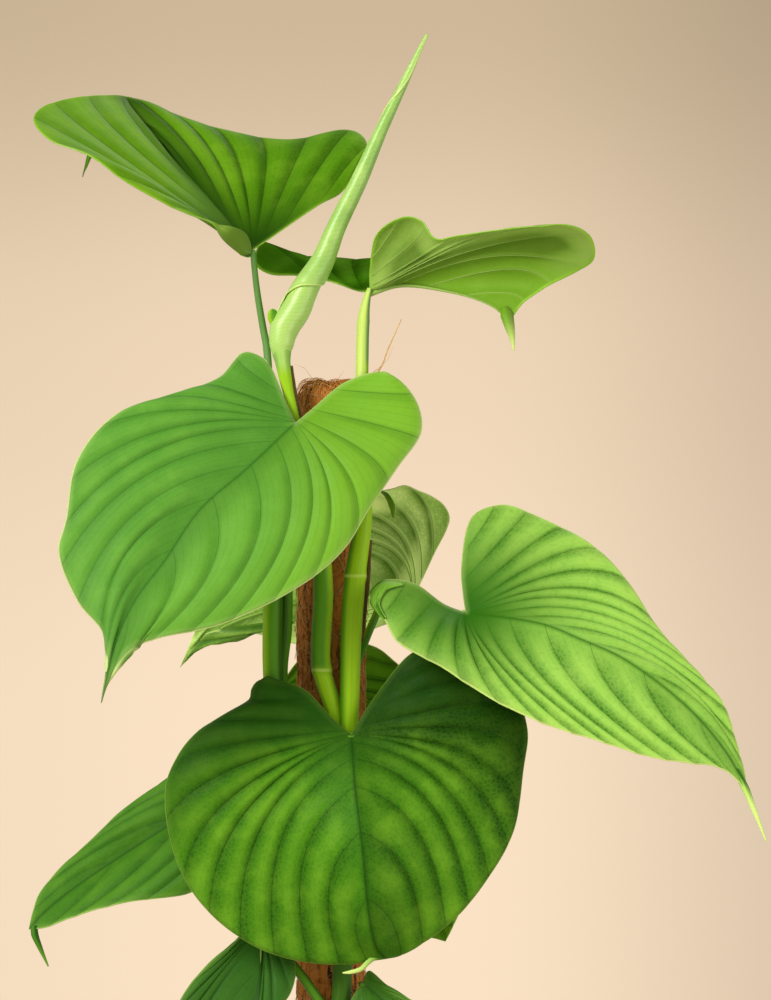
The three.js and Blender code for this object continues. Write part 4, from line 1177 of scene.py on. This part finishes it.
def channel(sides, turn, depth, width):
    """The shares of a stalk's radius at its corners, with a shallow channel at a turn from its front."""
    return 1 - depth * bump_at(ring_angles(sides), turn, width)


def ringed(radii, places, height, swell, wide, below, narrow):
    """Radii with a swollen ring at a height, and a narrow neck below it."""
    heights = places[:, 2]
    neck = swell / 2 * bump_at(heights, height - below, narrow)
    return radii * (1 + swell * bump_at(heights, height, wide) - neck)


def stalk_places(leaf):
    """The stalk's line from the stem up to the joint, with radii."""
    shares = np.linspace(1, 0, 120)
    radii = np.interp(shares, np.linspace(0, 1, len(leaf["radii"])), leaf["radii"])
    return drawn(leaf["stalk"]).at(shares), radii


def rib_line(blade):
    """The midrib under the blade, from the joint to the tip, with radii."""
    rows = np.arange(blade.lobe_pleats * blade.rows_per_pleat, len(blade.numbers), 2)
    ups = unit(sum(half["up"][rows, 1] for half in blade.halves))
    start = min(blade.leaf["radii"][1], RIB_START_LIMIT) * RIB_SHARE
    radii = start * (1 - np.linspace(0, 1, len(rows))) ** 1.1 + RIB_END
    return blade.halves[0]["points"][rows, 0] - ups * (radii * 0.85)[:, None], radii


def side_ribs(stalk, blade, thickness, radius):
    """Half-round ribs under the blade along each main vein."""
    columns = np.arange(1, len(blade.across) - 1, 2)
    taper = radius * (1 - 0.75 * blade.across[columns])
    below = (thickness / 2 + taper * 0.1)[:, None]
    for half in blade.halves:
        for row in range(blade.rows_per_pleat, len(blade.numbers) - 1, blade.rows_per_pleat):
            places = half["points"][row, columns] - half["up"][row, columns] * below
            stalk.tube(places, taper, 6, material=1)


def hang_tail(stalk, leaf):
    """The thin tail at a blade's tip, which starts flat, as a fold of the blade, and ends round."""
    curve, shares, angle = drawn(leaf["drip"]), np.linspace(0, 1, 40), ring_angles(20)
    depth = (0.45 + 0.55 * shares)[:, None]
    section = 1 / np.sqrt((np.cos(angle) / depth) ** 2 + np.sin(angle) ** 2)
    taper = curve.values(shares, leaf["drip_radii"])[:, None]
    stalk.tube(curve.at(shares), taper * section, 20, material=2)


def grow_leaf(leaf, sizes, finishes):
    """One leaf: its blade with an upper and an under side, and its stalk with the ribs below the blade."""
    name, tone = leaf["name"], leaf["tone"]
    blade = Blade(leaf, sizes)
    piece = blade.weave(name + "_blade", [finishes.blade(tone, True), finishes.blade(tone, False),
                                          finishes.edge(tone)])
    thicken(piece, sizes.blade_thickness)
    dress(piece, leaf["slot"], name)
    stalk = Weave()
    if "drip" in leaf:
        hang_tail(stalk, leaf)
    places, radii = stalk_places(leaf)
    if name in STALK_RINGS:
        radii = ringed(radii, places, STALK_RINGS[name] / MM, 0.08, 2.6, 5, 1.6)
    stalk.tube(places, radii[:, None] * channel(18, math.pi, 0.16, 0.5), 18)
    stalk.tube(*rib_line(blade), 8, material=1)
    side_ribs(stalk, blade, sizes.blade_thickness / MM, sizes.rib_radius / MM)
    tail = finishes.drip(tone if tone in DRIP_TONES else "shaded")
    piece = stalk.made(name + "_stalk", [finishes.stalk(name), finishes.rib(tone), tail], outwards=True)
    dress(piece, leaf["slot"], name)


def curl_edge(curl, sizes, finishes):
    """An edge of a blade that curls forward and shows its underside."""
    shares, across = np.linspace(0, 1, 48), np.linspace(0, 1, 15)
    foot, margin = (drawn(curl[part]).at(shares)[:, None] for part in ("foot", "margin"))
    belly = (foot + margin) / 2 + np.array(curl["belly"]) * np.sin(math.pi * shares)[:, None, None]
    sheet = Weave()
    sheet.sheet(arc(foot, belly, margin, across[None, :, None]), grid(shares * 0.04, across * 0.01))
    skin = finishes.streaked(curl["name"], curl["keys"], (30, 200, 1), 0.5, Specular_IOR_Level=0.15)
    piece = sheet.made(curl["name"], [skin] * 3)
    thicken(piece, sizes.blade_thickness)
    dress(piece, curl["slot"], curl["node"])


# Rolled leaf

def grow_rolled_leaf(sizes, finishes):
    """The new leaf: a sheet rolled round itself, whose free edge winds up the front, on its stalk."""
    curve = drawn(ROLLED_AXIS)
    last = curve.share_of(ROLLED_LAST)
    shares, layers = np.linspace(0, last, 190), np.linspace(0, 1, 73)
    places = curve.at(shares)
    plain = curve.values(shares, ROLLED_RADII)[:, None]
    # The sheet starts at its free edge on the outside and winds inwards behind it
    turn = np.interp(places[:, 2], *zip(*ROLL_EDGE))[:, None] - layers * ROLL_LAYERS
    pleats = 0.004 * np.sin(2 * math.pi * (5 * turn + 46 * shares[:, None]))
    lip = 0.05 * bump_at(layers, 0, 0.035)
    tucked = 1 - 0.22 * ease(shares, last - 0.022, last)[:, None]
    reach = plain * (1 + ROLL_STEP * (0.5 - layers)) * (1 + pleats + lip) * tucked
    edge = layers * 2 * math.pi * ROLL_LAYERS * plain
    run = (shares * curve.length * MM)[:, None]
    roll = Weave(("edge_gap",))
    roll.sheet(round_line(places, -2 * math.pi * turn, reach),
               np.stack([run - edge * MM * 0.8, edge * MM], -1), edge_gap=edge)
    piece = roll.made("rolled_leaf_roll", [finishes.rolled(), finishes.rolled(), finishes.edge("lime")])
    thicken(piece, sizes.blade_thickness)
    dress(piece, "rolled_leaf", "rolled_leaf")
    grow_rolled_stalk(curve, last, finishes)


def grow_rolled_stalk(curve, last, finishes):
    """The rolled leaf's stalk with its ring, and the small curled lobe at the roll's foot."""
    top = last - 0.035
    shares = np.linspace(top, 1, 160)
    places = curve.at(shares)
    radii = curve.values(shares, ROLLED_RADII) * (1.03 - 0.45 * (1 - ease(shares, top, last - 0.008)))
    radii = ringed(radii, places, STALK_RINGS["rolled_leaf"] / MM, 0.1, 2.6, 4.5, 1.6)
    stalk = Weave()
    stalk.tube(places, radii[:, None] * channel(22, 1.2, 0.1, 0.45), 22)
    shares = np.linspace(0, 1, 30)
    bulb = KNOB_RADIUS * np.sqrt(np.clip(1 - shares ** 2.4, 0, 1)) + 0.2
    stalk.tube(drawn(KNOB_AXIS).at(shares), bulb, 20, material=1)
    piece = stalk.made("rolled_leaf_stalk", [finishes.stalk("rolled_leaf"), finishes.stalk("")],
                       outwards=True)
    dress(piece, "rolled_leaf", "rolled_leaf")


# Stem, aerial roots and cataphylls

def ring_height(leaf):
    """The height of the stem's ring below the place where a leaf's stalk leaves it."""
    return leaf["stalk"][-1][2] - STEM_RING_BELOW


def grow_stem(finishes):
    """The main stem, with a swollen ring where each stalk leaves it."""
    curve, shares, sides = drawn(STEM_AXIS), np.linspace(0, 1, 260), 32
    places = curve.at(shares)
    radii = curve.values(shares, STEM_RADII)
    for leaf in LEAVES:
        radii = ringed(radii, places, ring_height(leaf), 0.1, 4, 6, 1.2)
    flutes = 1 + 0.02 * np.sin(5 * ring_angles(sides)) + 0.012 * np.sin(places[:, 2] / 9)[:, None]
    stem = Weave()
    stem.tube(places, radii[:, None] * flutes, sides)
    material = finishes.streaked("stem", ("stem", "stem", "stem_scar"), (14, 5, 1), 0.45, bump=0.4,
                                 Specular_IOR_Level=0.15)
    dress(stem.made("stem_rings", [material], outwards=True), "stem", "stem")
    grow_roots(finishes)


def grow_roots(finishes):
    """Short aerial roots that leave the stem's rings and grip the coir on both sides."""
    draw = random.Random(SEED)
    roots = Weave()
    shares = np.linspace(0, 1, 40)
    radii = np.linspace(1.7, 0.6, 40) * (1 - ease(shares, 0.93, 1) * 0.7)
    for leaf in LEAVES:
        way = draw.choice((-1, 1))
        turns = np.linspace(0, draw.uniform(0.9, 1.9), 9)
        lie = SLEEVE_RADIUS + 1.6 + 5.4 * bump_at(turns, 0, 0.22)
        drop = 6 + draw.uniform(4, 16) * turns + 1.5 * np.sin(3 * turns + draw.uniform(0, 6))
        across, forward = way * lie * np.sin(turns + 0.12), lie * np.cos(turns + 0.12)
        line = SmoothCurve(np.stack([across, -forward, ring_height(leaf) - drop], -1))
        roots.tube(line.at(shares), radii, 10)
    material = finishes.streaked("aerial_root", ("coir", "root", "root"), (120, 3, 1), 0.7)
    dress(roots.made("aerial_roots", [material], outwards=True), "stem")


def grow_cataphylls(finishes):
    """Dry brown sheaths beside the stalks: a curled strip each, frayed into fibres."""
    draw = random.Random(SEED + 1)
    material = finishes.streaked("cataphyll", ("coir_dark", "cataphyll", "cataphyll_light"), (30, 9, 1),
                                 0.8, bump=0.6)
    shares, across = np.linspace(0, 1, 60), np.linspace(-1, 1, 13)
    wide = 1.4 * np.sqrt(np.sin(math.pi * np.clip(0.06 + shares, 0, 0.97)))
    curl = 0.25 * across ** 2 * wide[:, None]
    crinkle = 0.08 * np.sin(9 * across + 14 * shares[:, None]) + 0.075 * np.sin(40 * shares)[:, None]
    for name, points in CATAPHYLLS.items():
        places = drawn(points).at(shares)
        out, side = frames(places)
        strip = Weave()
        strip.sheet(places[:, None] + side[:, None] * (across * wide[:, None])[..., None]
                    - out[:, None] * (curl + crinkle)[..., None], grid(shares * 0.06, across))
        piece = strip.made(name + "_strip", [material] * 3)
        thicken(piece, 0.7 * MM)
        dress(piece, "cataphyll", name)
        paths = [frayed(draw, places, out, side, wide) for _ in range(FRAYED_FIBRES)]
        dress(strands(name + "_fibres", paths, 0.16, material), "cataphyll", name)


def frayed(draw, places, out, side, wide):
    """A fibre that lies along a strip and bends away from it."""
    start, length = draw.uniform(0, 0.8), draw.uniform(0.15, 0.5)
    offset, lift = draw.uniform(-1.1, 1.1), draw.uniform(0.2, 1.6)
    part = np.clip(start + np.linspace(0, length, 8), 0, 1)
    k = np.round(part * (len(places) - 1)).astype(int)
    away = np.linspace(0, 1, 8) ** 2
    aside = offset * wide[k] + away * draw.uniform(-2, 2)
    return places[k] + side[k] * aside[:, None] + out[k] * (0.5 + lift * away)[:, None]


def meshed(thing):
    """A new mesh of what an object shows."""
    return bpy.data.meshes.new_from_object(thing.evaluated_get(bpy.context.evaluated_depsgraph_get()))


def strands(name, paths, radius, material, taper=0.45):
    """Many thin strands in one mesh, each a tube along its path in millimetres."""
    curve = bpy.data.curves.new(name + "_paths", "CURVE")
    curve.dimensions = "3D"
    curve.bevel_depth = radius * MM
    curve.bevel_resolution = 0
    curve.use_fill_caps = True
    for path in paths:
        spline = curve.splines.new("POLY")
        spline.points.add(len(path) - 1)
        for point, place, share in zip(spline.points, path, np.linspace(0, 1, len(path))):
            point.co = (*(np.array(place) * MM), 1)
            point.radius = 1 - taper * share
    holder = settle(name + "_paths", curve)
    data = meshed(holder)
    data.name = name
    bpy.data.objects.remove(holder)
    bpy.data.curves.remove(curve)
    data.materials.clear()
    return settle(name, data, [material])


# Coir pole

def around(radius, angle, height):
    """Places round the upright axis."""
    return np.stack([radius * np.cos(angle), radius * np.sin(angle), height + 0 * angle], -1)


def lumps(first, second, seed):
    """Soft unevenness from a few waves, about -1 to 1."""
    draw = random.Random(seed)
    total = 0
    for k in range(7):
        total = total + np.sin(first * draw.randint(1, 4 + k) + second * draw.uniform(0.02, 0.3)
                               + draw.uniform(0, 6.3)) / 4
    return total


def wrap_pole(sizes, finishes):
    """The sleeve of matted coir, its loose strands and its binding threads."""
    low, high = (corner.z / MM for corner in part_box("coir_sleeve"))
    lay_mat(low, high, finishes)
    lay_strands(low, high, sizes, finishes)
    bind_threads(low, high, finishes)


def lay_mat(low, high, finishes):
    """The sleeve itself, a little uneven and round over the top."""
    heights = np.concatenate([np.linspace(low, high - DOME, 230),
                              high - DOME + DOME * np.sin(np.linspace(0.08, 1.57, 24))])
    uneven = lumps(ring_angles(MAT_SIDES), heights[:, None], SEED + 2)
    radius = (dome_radius(heights, high)[:, None] - MAT_BELOW) * (1 + 0.022 * uneven)
    radius[:, -1] = radius[:, 0]
    sleeve = Weave()
    sleeve.tube(around(0, 0 * heights, heights), radius, MAT_SIDES)
    # Its darkest streaks paint shade in the gaps between the fibres
    base = finishes.streaked("coir_mat", ("coir_dark", "coir", "coir"), (230, 230, 40), 0.9,
                             source="Object", bump=0.7, reach=0.6 * MM)
    dress(sleeve.made("coir_mat", [base], outwards=True), "coir", "coir_sleeve")


def lay_strands(low, high, sizes, finishes):
    """Loose strands on the sleeve and over its top, darker and lighter ones."""
    draw = random.Random(SEED + 3)
    dark, light = [], []
    for _ in range(sizes.strands):
        path = lying_strand(draw, low, high)
        (light if draw.random() < LIGHT_SHARE else dark).append(path)
    # Two in three of the strands over the top are dark ones, which paint shade on the pole's top
    for k in range(RISING_STRANDS):
        (dark if k % 3 else light).append(rising_strand(draw, high))
    strand_dark = finishes.streaked("coir_strand", ("coir_dark", "coir", "coir_light"), (210, 210, 55),
                                    0.75, source="Object", Specular_IOR_Level=0.2)
    strand_light = finishes.streaked("coir_light_strand", ("coir", "coir_light", "coir_light"),
                                     (420, 420, 420), 0.7, source="Object")
    radius = sizes.strand_radius / MM
    dress(strands("coir_strands", dark, radius, strand_dark), "coir", "coir_sleeve")
    dress(strands("coir_light_strands", light, radius * 0.9, strand_light), "coir", "coir_sleeve")
    dress(strands("coir_stray_strands", STRAY_STRANDS, radius * 1.1, strand_light, taper=0.7), "coir")
    dress(strands("coir_stray_bundle", STRAY_BUNDLE, radius * 3.2, strand_light, taper=0.6), "coir")


def bind_threads(low, high, finishes):
    """Thin threads that wind round the sleeve both ways."""
    turns = np.linspace(0, (high - low - 12) / THREAD_PITCH, 640)
    threads = []
    for way in (-1, 1):
        for k in range(THREADS):
            angle = way * 2 * math.pi * (turns + k / THREADS)
            stray = 5 * np.sin(angle * 1.7 + 2 * k) + 2.4 * np.sin(angle * 4.3)
            level = low + 4 + turns * THREAD_PITCH + stray
            lie = dome_radius(level, high) + 0.15 + 0.3 * np.sin(angle * 5)
            threads.append(around(lie, angle, np.clip(level, low, high)))
    thread = finishes.streaked("binding_thread", ("coir", "thread", "thread"), (500, 500, 500), 0.6,
                               source="Object")
    dress(strands("binding_threads", threads, 0.17, thread, taper=0), "coir")


def dome_radius(height, high):
    """The sleeve's radius at a height: round over the top, straight below."""
    share = np.clip((height - high + DOME) / (DOME * 1.02), 0, 1)
    return SLEEVE_RADIUS * (0.3 + 0.7 * np.sqrt(1 - share ** 2))


def lying_strand(draw, low, high):
    """A curved strand that lies on the sleeve, its ends standing off a little."""
    steps = 8
    length = draw.uniform(16, 52)
    heading = draw.gauss(0, 0.75) + (math.pi if draw.random() < 0.5 else 0)
    bend = draw.gauss(0, 0.22)
    angle, height = draw.uniform(0, 2 * math.pi), draw.uniform(low, high - 2)
    lie = -draw.uniform(0.2, 1.3)
    lift = max(0, draw.gauss(0.5, 0.9))
    path = []
    for k in range(steps):
        ends = abs(2 * k / (steps - 1) - 1) ** 3
        level = min(max(height, low), high - 0.6)
        path.append(around(dome_radius(level, high) + lie + lift * ends, angle, level))
        angle += length / steps * math.sin(heading) / SLEEVE_RADIUS
        height += length / steps * math.cos(heading)
        heading += bend
    return path


def rising_strand(draw, high):
    """A strand of the frayed top, lying over the shoulder or standing up."""
    turn = draw.uniform(0, 2 * math.pi)
    lean = draw.uniform(-0.9, 0.9)
    path = []
    start = draw.uniform(3, SLEEVE_RADIUS - 6)
    up = draw.choice((draw.uniform(0.3, 3), draw.uniform(0.3, 3), draw.uniform(3, 9)))
    for share in np.linspace(0, 1, 7):
        reach = start + (SLEEVE_RADIUS + 0.4 - start) * share
        drop = DOME * (1 - math.sqrt(1 - min(1, max(0, reach / SLEEVE_RADIUS - 0.3) / 0.7) ** 2))
        rise = up * math.sin(math.pi * min(1, share * 1.1)) if up < 3 else up * share
        path.append(around(reach, turn + lean * share, high + 0.3 + rise - drop))
    return path


# Soil and pot

def fill_soil(sizes, finishes):
    """The soil's crumbly top and the bark and white grains that lie on it."""
    low, top = (corner.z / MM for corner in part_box("soil"))
    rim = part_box("soil")[1].x / MM
    ring = np.concatenate([[0.2], np.linspace(3, rim - 0.4, 60)])[:, None]
    angle = ring_angles(120)
    height = (top - SOIL_DROP + 0.8 * bump_at(ring, 25, 9) + 0.9 * lumps(angle * 3, ring, SEED + 5)
              + 0.5 * lumps(angle * 9, ring * 3, SEED + 6))
    height[:, -1] = height[:, 0]
    # The top, then the foot of the wall and the middle of the underside
    foot = [around(SOIL_FOOT_RADIUS, angle, low), around(0, angle, low)]
    bed = Weave()
    bed.sheet(np.concatenate([around(ring, angle, height), foot]))
    soil = finishes.streaked("soil", ("soil", "soil", "soil_crumb"), (420, 420, 420), 0.95,
                             source="Object", bump=1.0, reach=1.6 * MM)
    dress(bed.made("soil_bed", [soil], outwards=True), "soil", "soil")
    scatter_crumbs(sizes.crumbs, rim, top, finishes)


def scatter_crumbs(count, rim, top, finishes):
    """Angular crumbs of bark, and some white grains, on the soil."""
    draw = random.Random(SEED + 4)
    crumbs = bmesh.new()
    for _ in range(count):
        away, turn = (rim - 5) * math.sqrt(draw.uniform(0.09, 1)), draw.uniform(0, 2 * math.pi)
        size = draw.uniform(1.0, 3.4)
        made = bmesh.ops.create_icosphere(crumbs, subdivisions=1, radius=size * MM)
        white = draw.random() < WHITE_SHARE
        flat = Vector((draw.uniform(0.8, 1.7), draw.uniform(0.6, 1.1), draw.uniform(0.35, 0.8)))
        if white:
            flat = Vector(WHITE_SHAPE)
        turned = Matrix.Rotation(draw.uniform(0, math.pi), 3, "Z")
        middle = Vector(around(away, turn, top - 2 + 0.2 * size)) * MM
        for corner in made["verts"]:
            corner.co = turned @ (corner.co * flat * draw.uniform(0.8, 1.2)) + middle
        for face in {face for corner in made["verts"] for face in corner.link_faces}:
            face.material_index = 1 if white else 0
    bark = finishes.streaked("bark_crumb", ("soil", "soil_crumb", "root"), (260, 260, 260), 0.85,
                             source="Object", bump=0.6, reach=0.5 * MM)
    grain = finishes.streaked("perlite", ("perlite", "perlite", "thread"), (400, 400, 400), 0.9,
                              source="Object")
    dress(settle("soil_crumbs", crumbs, [bark, grain]), "soil")


def throw_pot(finishes):
    """The plain pot: a turned wall with a rolled rim and drain holes in its floor."""
    wall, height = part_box("pot")[1].x / MM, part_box("pot")[1].z / MM
    under = height - POT_RIM_HEIGHT
    side = POT_FOOT_RADIUS + (wall - POT_RIM_STEP - POT_FOOT_RADIUS) * under / height
    profile = [(0, POT_FLOOR), (POT_FOOT_RADIUS - POT_WALL + 2, POT_FLOOR), (POT_INNER_TOP, height),
               (wall, height), (wall, under), (side, under), (POT_FOOT_RADIUS, 0), (0, 0)]
    pot = bmesh.new()
    corners = [pot.verts.new((r * MM, 0, z * MM)) for r, z in profile]
    edges = [pot.edges.new(pair) for pair in zip(corners, corners[1:])]
    bmesh.ops.spin(pot, geom=corners + edges, cent=(0, 0, 0), axis=(0, 0, 1), dvec=(0, 0, 0),
                   angle=2 * math.pi, steps=144, use_merge=True)
    bmesh.ops.remove_doubles(pot, verts=pot.verts, dist=0.01 * MM)
    bmesh.ops.recalc_face_normals(pot, faces=pot.faces)
    sharp = [edge for edge in pot.edges if edge.is_manifold and edge.calc_face_angle() > SHARP]
    bmesh.ops.bevel(pot, geom=sharp, offset=POT_BEVEL * MM, affect="EDGES", segments=4, profile=0.5,
                    material=-1, clamp_overlap=True)
    for face in pot.faces:
        face.smooth = True
    piece = settle("pot_wall", pot)
    drill(piece)
    piece.data.materials.append(terracotta(finishes))
    dress(piece, "terracotta", "pot")


def drill(piece):
    """Cuts the drain holes through the pot's floor."""
    cutter = bmesh.new()
    for k in range(DRAIN_COUNT):
        made = bmesh.ops.create_cone(cutter, cap_ends=True, segments=32, radius1=DRAIN_RADIUS * MM,
                                     radius2=DRAIN_RADIUS * MM, depth=4 * POT_FLOOR * MM)
        place = Vector(around(DRAIN_FROM_AXIS, (k + 0.5) * 2 * math.pi / DRAIN_COUNT, 0)) * MM
        bmesh.ops.translate(cutter, verts=made["verts"], vec=place)
    tool = settle("drain_cutter", cutter)
    cut = piece.modifiers.new("Drain", "BOOLEAN")
    cut.operation = "DIFFERENCE"
    cut.solver = "EXACT"
    cut.object = tool
    piece.data = meshed(piece)
    piece.modifiers.clear()
    bpy.data.objects.remove(tool)


def terracotta(finishes):
    """Unglazed clay: fine grain, faint turning rings, a pale bloom and a damp foot."""
    def look(tree):
        base, pale, dark = (finishes.colour(key) for key in ("pot", "pot_pale", "pot_dark"))
        place = own(tree)
        clouds = noise(tree, place, 14.0, detail=6, roughness=0.62)
        mixed = mix(tree, step(tree, clouds, 0.5, 0.72, 0.0, 0.75), base, pale)
        foot = fall(tree, axis(tree, place, 2), 0.01, 0.07)
        mixed = mix(tree, times(tree, foot, step(tree, clouds, 0.35, 0.55), 0.6), mixed, dark)
        speck = noise(tree, place, 900.0, detail=2)
        mixed = mix(tree, step(tree, speck, 0.6, 0.72, 0.0, 0.35), mixed, dark)
        rings = put(tree, "ShaderNodeTexWave", {"Vector": place, "Scale": 70.0, "Distortion": 1.2},
                    wave_type="BANDS", bands_direction="Z").outputs[1]
        relief = calc(tree, "ADD", times(tree, rings, 0.5), noise(tree, place, 1400.0))
        return mixed, step(tree, noise(tree, place, 30.0), 0.3, 0.7, 0.72, 0.88), relief

    return finishes.once("terracotta", look, bump=0.35, reach=0.3 * MM, Specular_IOR_Level=0.25)


# Stage

def set_stage(colours, stage):
    """Camera, lights, wall tone and floor."""
    camera = bpy.data.cameras.new("Camera")
    camera.sensor_width = FILM_HEIGHT
    camera.lens = FILM_HEIGHT * EYE_DISTANCE / VIEW_HEIGHT
    eye = settle("Camera", camera)
    eye.location = (EYE_X * MM, -EYE_DISTANCE * MM, EYE_Z * MM)
    eye.rotation_euler = (math.pi / 2, 0, 0)
    bpy.context.scene.camera = eye
    bpy.context.scene.view_settings.view_transform = "Standard"
    aim = Vector((EYE_X * MM, 0, 0.6))
    for name, power, size, place, tint in (
            ("Key", stage.key_power, 1.3, (-1.5, -1.7, 2.0), (1, 0.97, 0.91)),
            ("Fill", stage.fill_power, 1.6, (1.9, -1.5, 0.9), (1, 0.95, 0.87)),
            ("Back", stage.back_power, 1.0, (0.5, 1.3, 1.9), (1, 0.96, 0.88))):
        light = bpy.data.lights.new(name, "AREA")
        light.energy = power
        light.size = size
        light.color = tint
        lamp = settle(name, light)
        lamp.location = place
        lamp.rotation_euler = (aim - Vector(place)).to_track_quat("-Z", "Y").to_euler()
    paint_wall(colours, stage)
    lay_floor(colours, stage)


def paint_wall(colours, stage):
    """Soft light from all round; the camera sees a warm wall with painted shade, darker upwards and at the
    sides, most towards the right.
    """
    world = bpy.data.worlds.new("Wall")
    bpy.context.scene.world = world
    world.use_nodes = True
    tree = world.node_tree
    tree.nodes.clear()
    way = put(tree, "ShaderNodeTexCoord").outputs["Generated"]
    across, up = axis(tree, way, 0), axis(tree, way, 2)
    low, middle, high = (tuple(getattr(colours, "wall_" + part)) for part in ("low", "middle", "high"))
    tone = mix(tree, step(tree, up, -0.07, 0.055), low, middle)
    tone = mix(tree, step(tree, up, 0.04, 0.165), tone, high)
    shade = times(tree, step(tree, across, 0.02, 0.15, 1.0, 0.74),
                  step(tree, across, -0.13, -0.05, 0.95, 1.0))
    grey = put(tree, "ShaderNodeCombineColor", {0: shade, 1: shade, 2: shade}).outputs[0]
    tone = mix(tree, 1.0, tone, grey, blend="MULTIPLY")
    wall = put(tree, "ShaderNodeBackground", {"Color": tone, "Strength": 1.0})
    ambient = put(tree, "ShaderNodeBackground", {"Color": (1, 0.96, 0.88), "Strength": stage.ambient})
    path = put(tree, "ShaderNodeLightPath").outputs["Is Camera Ray"]
    both = put(tree, "ShaderNodeMixShader", {0: path, 1: ambient.outputs[0], 2: wall.outputs[0]})
    put(tree, "ShaderNodeOutputWorld", {0: both.outputs[0]})


def lay_floor(colours, stage):
    """A round pale floor that fades out at its rim."""
    material = bpy.data.materials.new("floor")
    material.use_nodes = True
    tree = material.node_tree
    away = put(tree, "ShaderNodeVectorMath", {0: own(tree)}, operation="LENGTH").outputs["Value"]
    fade = fall(tree, away, stage.floor_radius * 0.55, stage.floor_radius * 0.98)
    for key, value in (("Alpha", fade), ("Base Color", tuple(colours.floor)), ("Roughness", 0.8)):
        join(tree, value, tree.nodes["Principled BSDF"].inputs[key])
    disc = bmesh.new()
    bmesh.ops.create_circle(disc, cap_ends=True, segments=128, radius=stage.floor_radius)
    floor = settle("floor", disc, [material])


# Operators, panel and registration

class PieceOperator:
    """What every operator of this file shares."""
    bl_options = {"REGISTER", "UNDO"}
    finishes = None

    def shared(self, context):
        if PieceOperator.finishes is None:
            PieceOperator.finishes = Finishes(context.scene.plant_colours)
        return PieceOperator.finishes


class PLANT_OT_set_stage(PieceOperator, bpy.types.Operator):
    """Set the camera, the lights, the wall tone and the floor"""
    bl_idname = "plant.set_stage"
    bl_label = "Set the Stage"

    def execute(self, context):
        set_stage(context.scene.plant_colours, context.scene.plant_stage)
        return {"FINISHED"}


class PLANT_OT_grow_leaves(PieceOperator, bpy.types.Operator):
    """Grow the ten open leaves with their stalks and ribs"""
    bl_idname = "plant.grow_leaves"
    bl_label = "Grow the Leaves"

    def execute(self, context):
        for leaf in LEAVES:
            grow_leaf(leaf, context.scene.plant_sizes, self.shared(context))
        for curl in CURLS:
            curl_edge(curl, context.scene.plant_sizes, self.shared(context))
        return {"FINISHED"}


class PLANT_OT_grow_rolled_leaf(PieceOperator, bpy.types.Operator):
    """Grow the new leaf that is still rolled, with its stalk"""
    bl_idname = "plant.grow_rolled_leaf"
    bl_label = "Grow the Rolled Leaf"

    def execute(self, context):
        grow_rolled_leaf(context.scene.plant_sizes, self.shared(context))
        return {"FINISHED"}


class PLANT_OT_grow_stem(PieceOperator, bpy.types.Operator):
    """Grow the main stem with its rings and aerial roots"""
    bl_idname = "plant.grow_stem"
    bl_label = "Grow the Stem"

    def execute(self, context):
        grow_stem(self.shared(context))
        return {"FINISHED"}


class PLANT_OT_grow_cataphylls(PieceOperator, bpy.types.Operator):
    """Add the dry fibrous cataphylls beside the stalks"""
    bl_idname = "plant.grow_cataphylls"
    bl_label = "Add the Cataphylls"

    def execute(self, context):
        grow_cataphylls(self.shared(context))
        return {"FINISHED"}


class PLANT_OT_wrap_pole(PieceOperator, bpy.types.Operator):
    """Wrap the pole in matted coir, loose strands and binding threads"""
    bl_idname = "plant.wrap_pole"
    bl_label = "Wrap the Coir Pole"

    def execute(self, context):
        finishes = self.shared(context)
        wrap_pole(context.scene.plant_sizes, finishes)
        wood = finishes.streaked("stake_wood", ("soil_crumb", "stake", "stake"), (220, 220, 12), 0.7,
                                 source="Object", bump=0.4)
        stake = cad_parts["pole_stake"]
        stake.data.materials.clear()
        stake.data.materials.append(wood)
        return {"FINISHED"}


class PLANT_OT_fill_soil(PieceOperator, bpy.types.Operator):
    """Fill the pot with soil, bark crumbs and white grains"""
    bl_idname = "plant.fill_soil"
    bl_label = "Fill the Soil"

    def execute(self, context):
        fill_soil(context.scene.plant_sizes, self.shared(context))
        return {"FINISHED"}


class PLANT_OT_throw_pot(PieceOperator, bpy.types.Operator):
    """Turn the plain terracotta pot and drill its drain holes"""
    bl_idname = "plant.throw_pot"
    bl_label = "Turn the Pot"

    def execute(self, context):
        throw_pot(self.shared(context))
        return {"FINISHED"}


PIECES = (PLANT_OT_set_stage, PLANT_OT_grow_leaves, PLANT_OT_grow_rolled_leaf, PLANT_OT_grow_stem,
          PLANT_OT_grow_cataphylls, PLANT_OT_wrap_pole, PLANT_OT_fill_soil, PLANT_OT_throw_pot)


class PLANT_PT_panel(bpy.types.Panel):
    """Sizes, light and one button for each piece"""
    bl_idname = "PLANT_PT_panel"
    bl_label = "Potted Philodendron"
    bl_space_type = "VIEW_3D"
    bl_region_type = "UI"
    bl_category = "Plant"

    def draw(self, context):
        layout = self.layout
        for settings in (context.scene.plant_sizes, context.scene.plant_stage):
            box = layout.box()
            for key in settings.__annotations__:
                box.prop(settings, key)
        for piece in PIECES:
            layout.operator(piece.bl_idname)
        box = layout.box()
        for key in COLOURS:
            box.prop(context.scene.plant_colours, key)


GROUPS = {"plant_colours": PlantColours, "plant_sizes": PlantSizes, "plant_stage": StageSettings}


def register():
    for kind in (*GROUPS.values(), *PIECES, PLANT_PT_panel):
        bpy.utils.register_class(kind)
    for name, kind in GROUPS.items():
        setattr(bpy.types.Scene, name, bpy.props.PointerProperty(type=kind))


def unregister():
    for name in GROUPS:
        delattr(bpy.types.Scene, name)
    for kind in (PLANT_PT_panel, *reversed(PIECES), *reversed(GROUPS.values())):
        bpy.utils.unregister_class(kind)


def main():
    register()
    for piece in PIECES:
        group_name, call = piece.bl_idname.split(".")
        getattr(getattr(bpy.ops, group_name), call)()


if __name__ == "__main__":
    main()
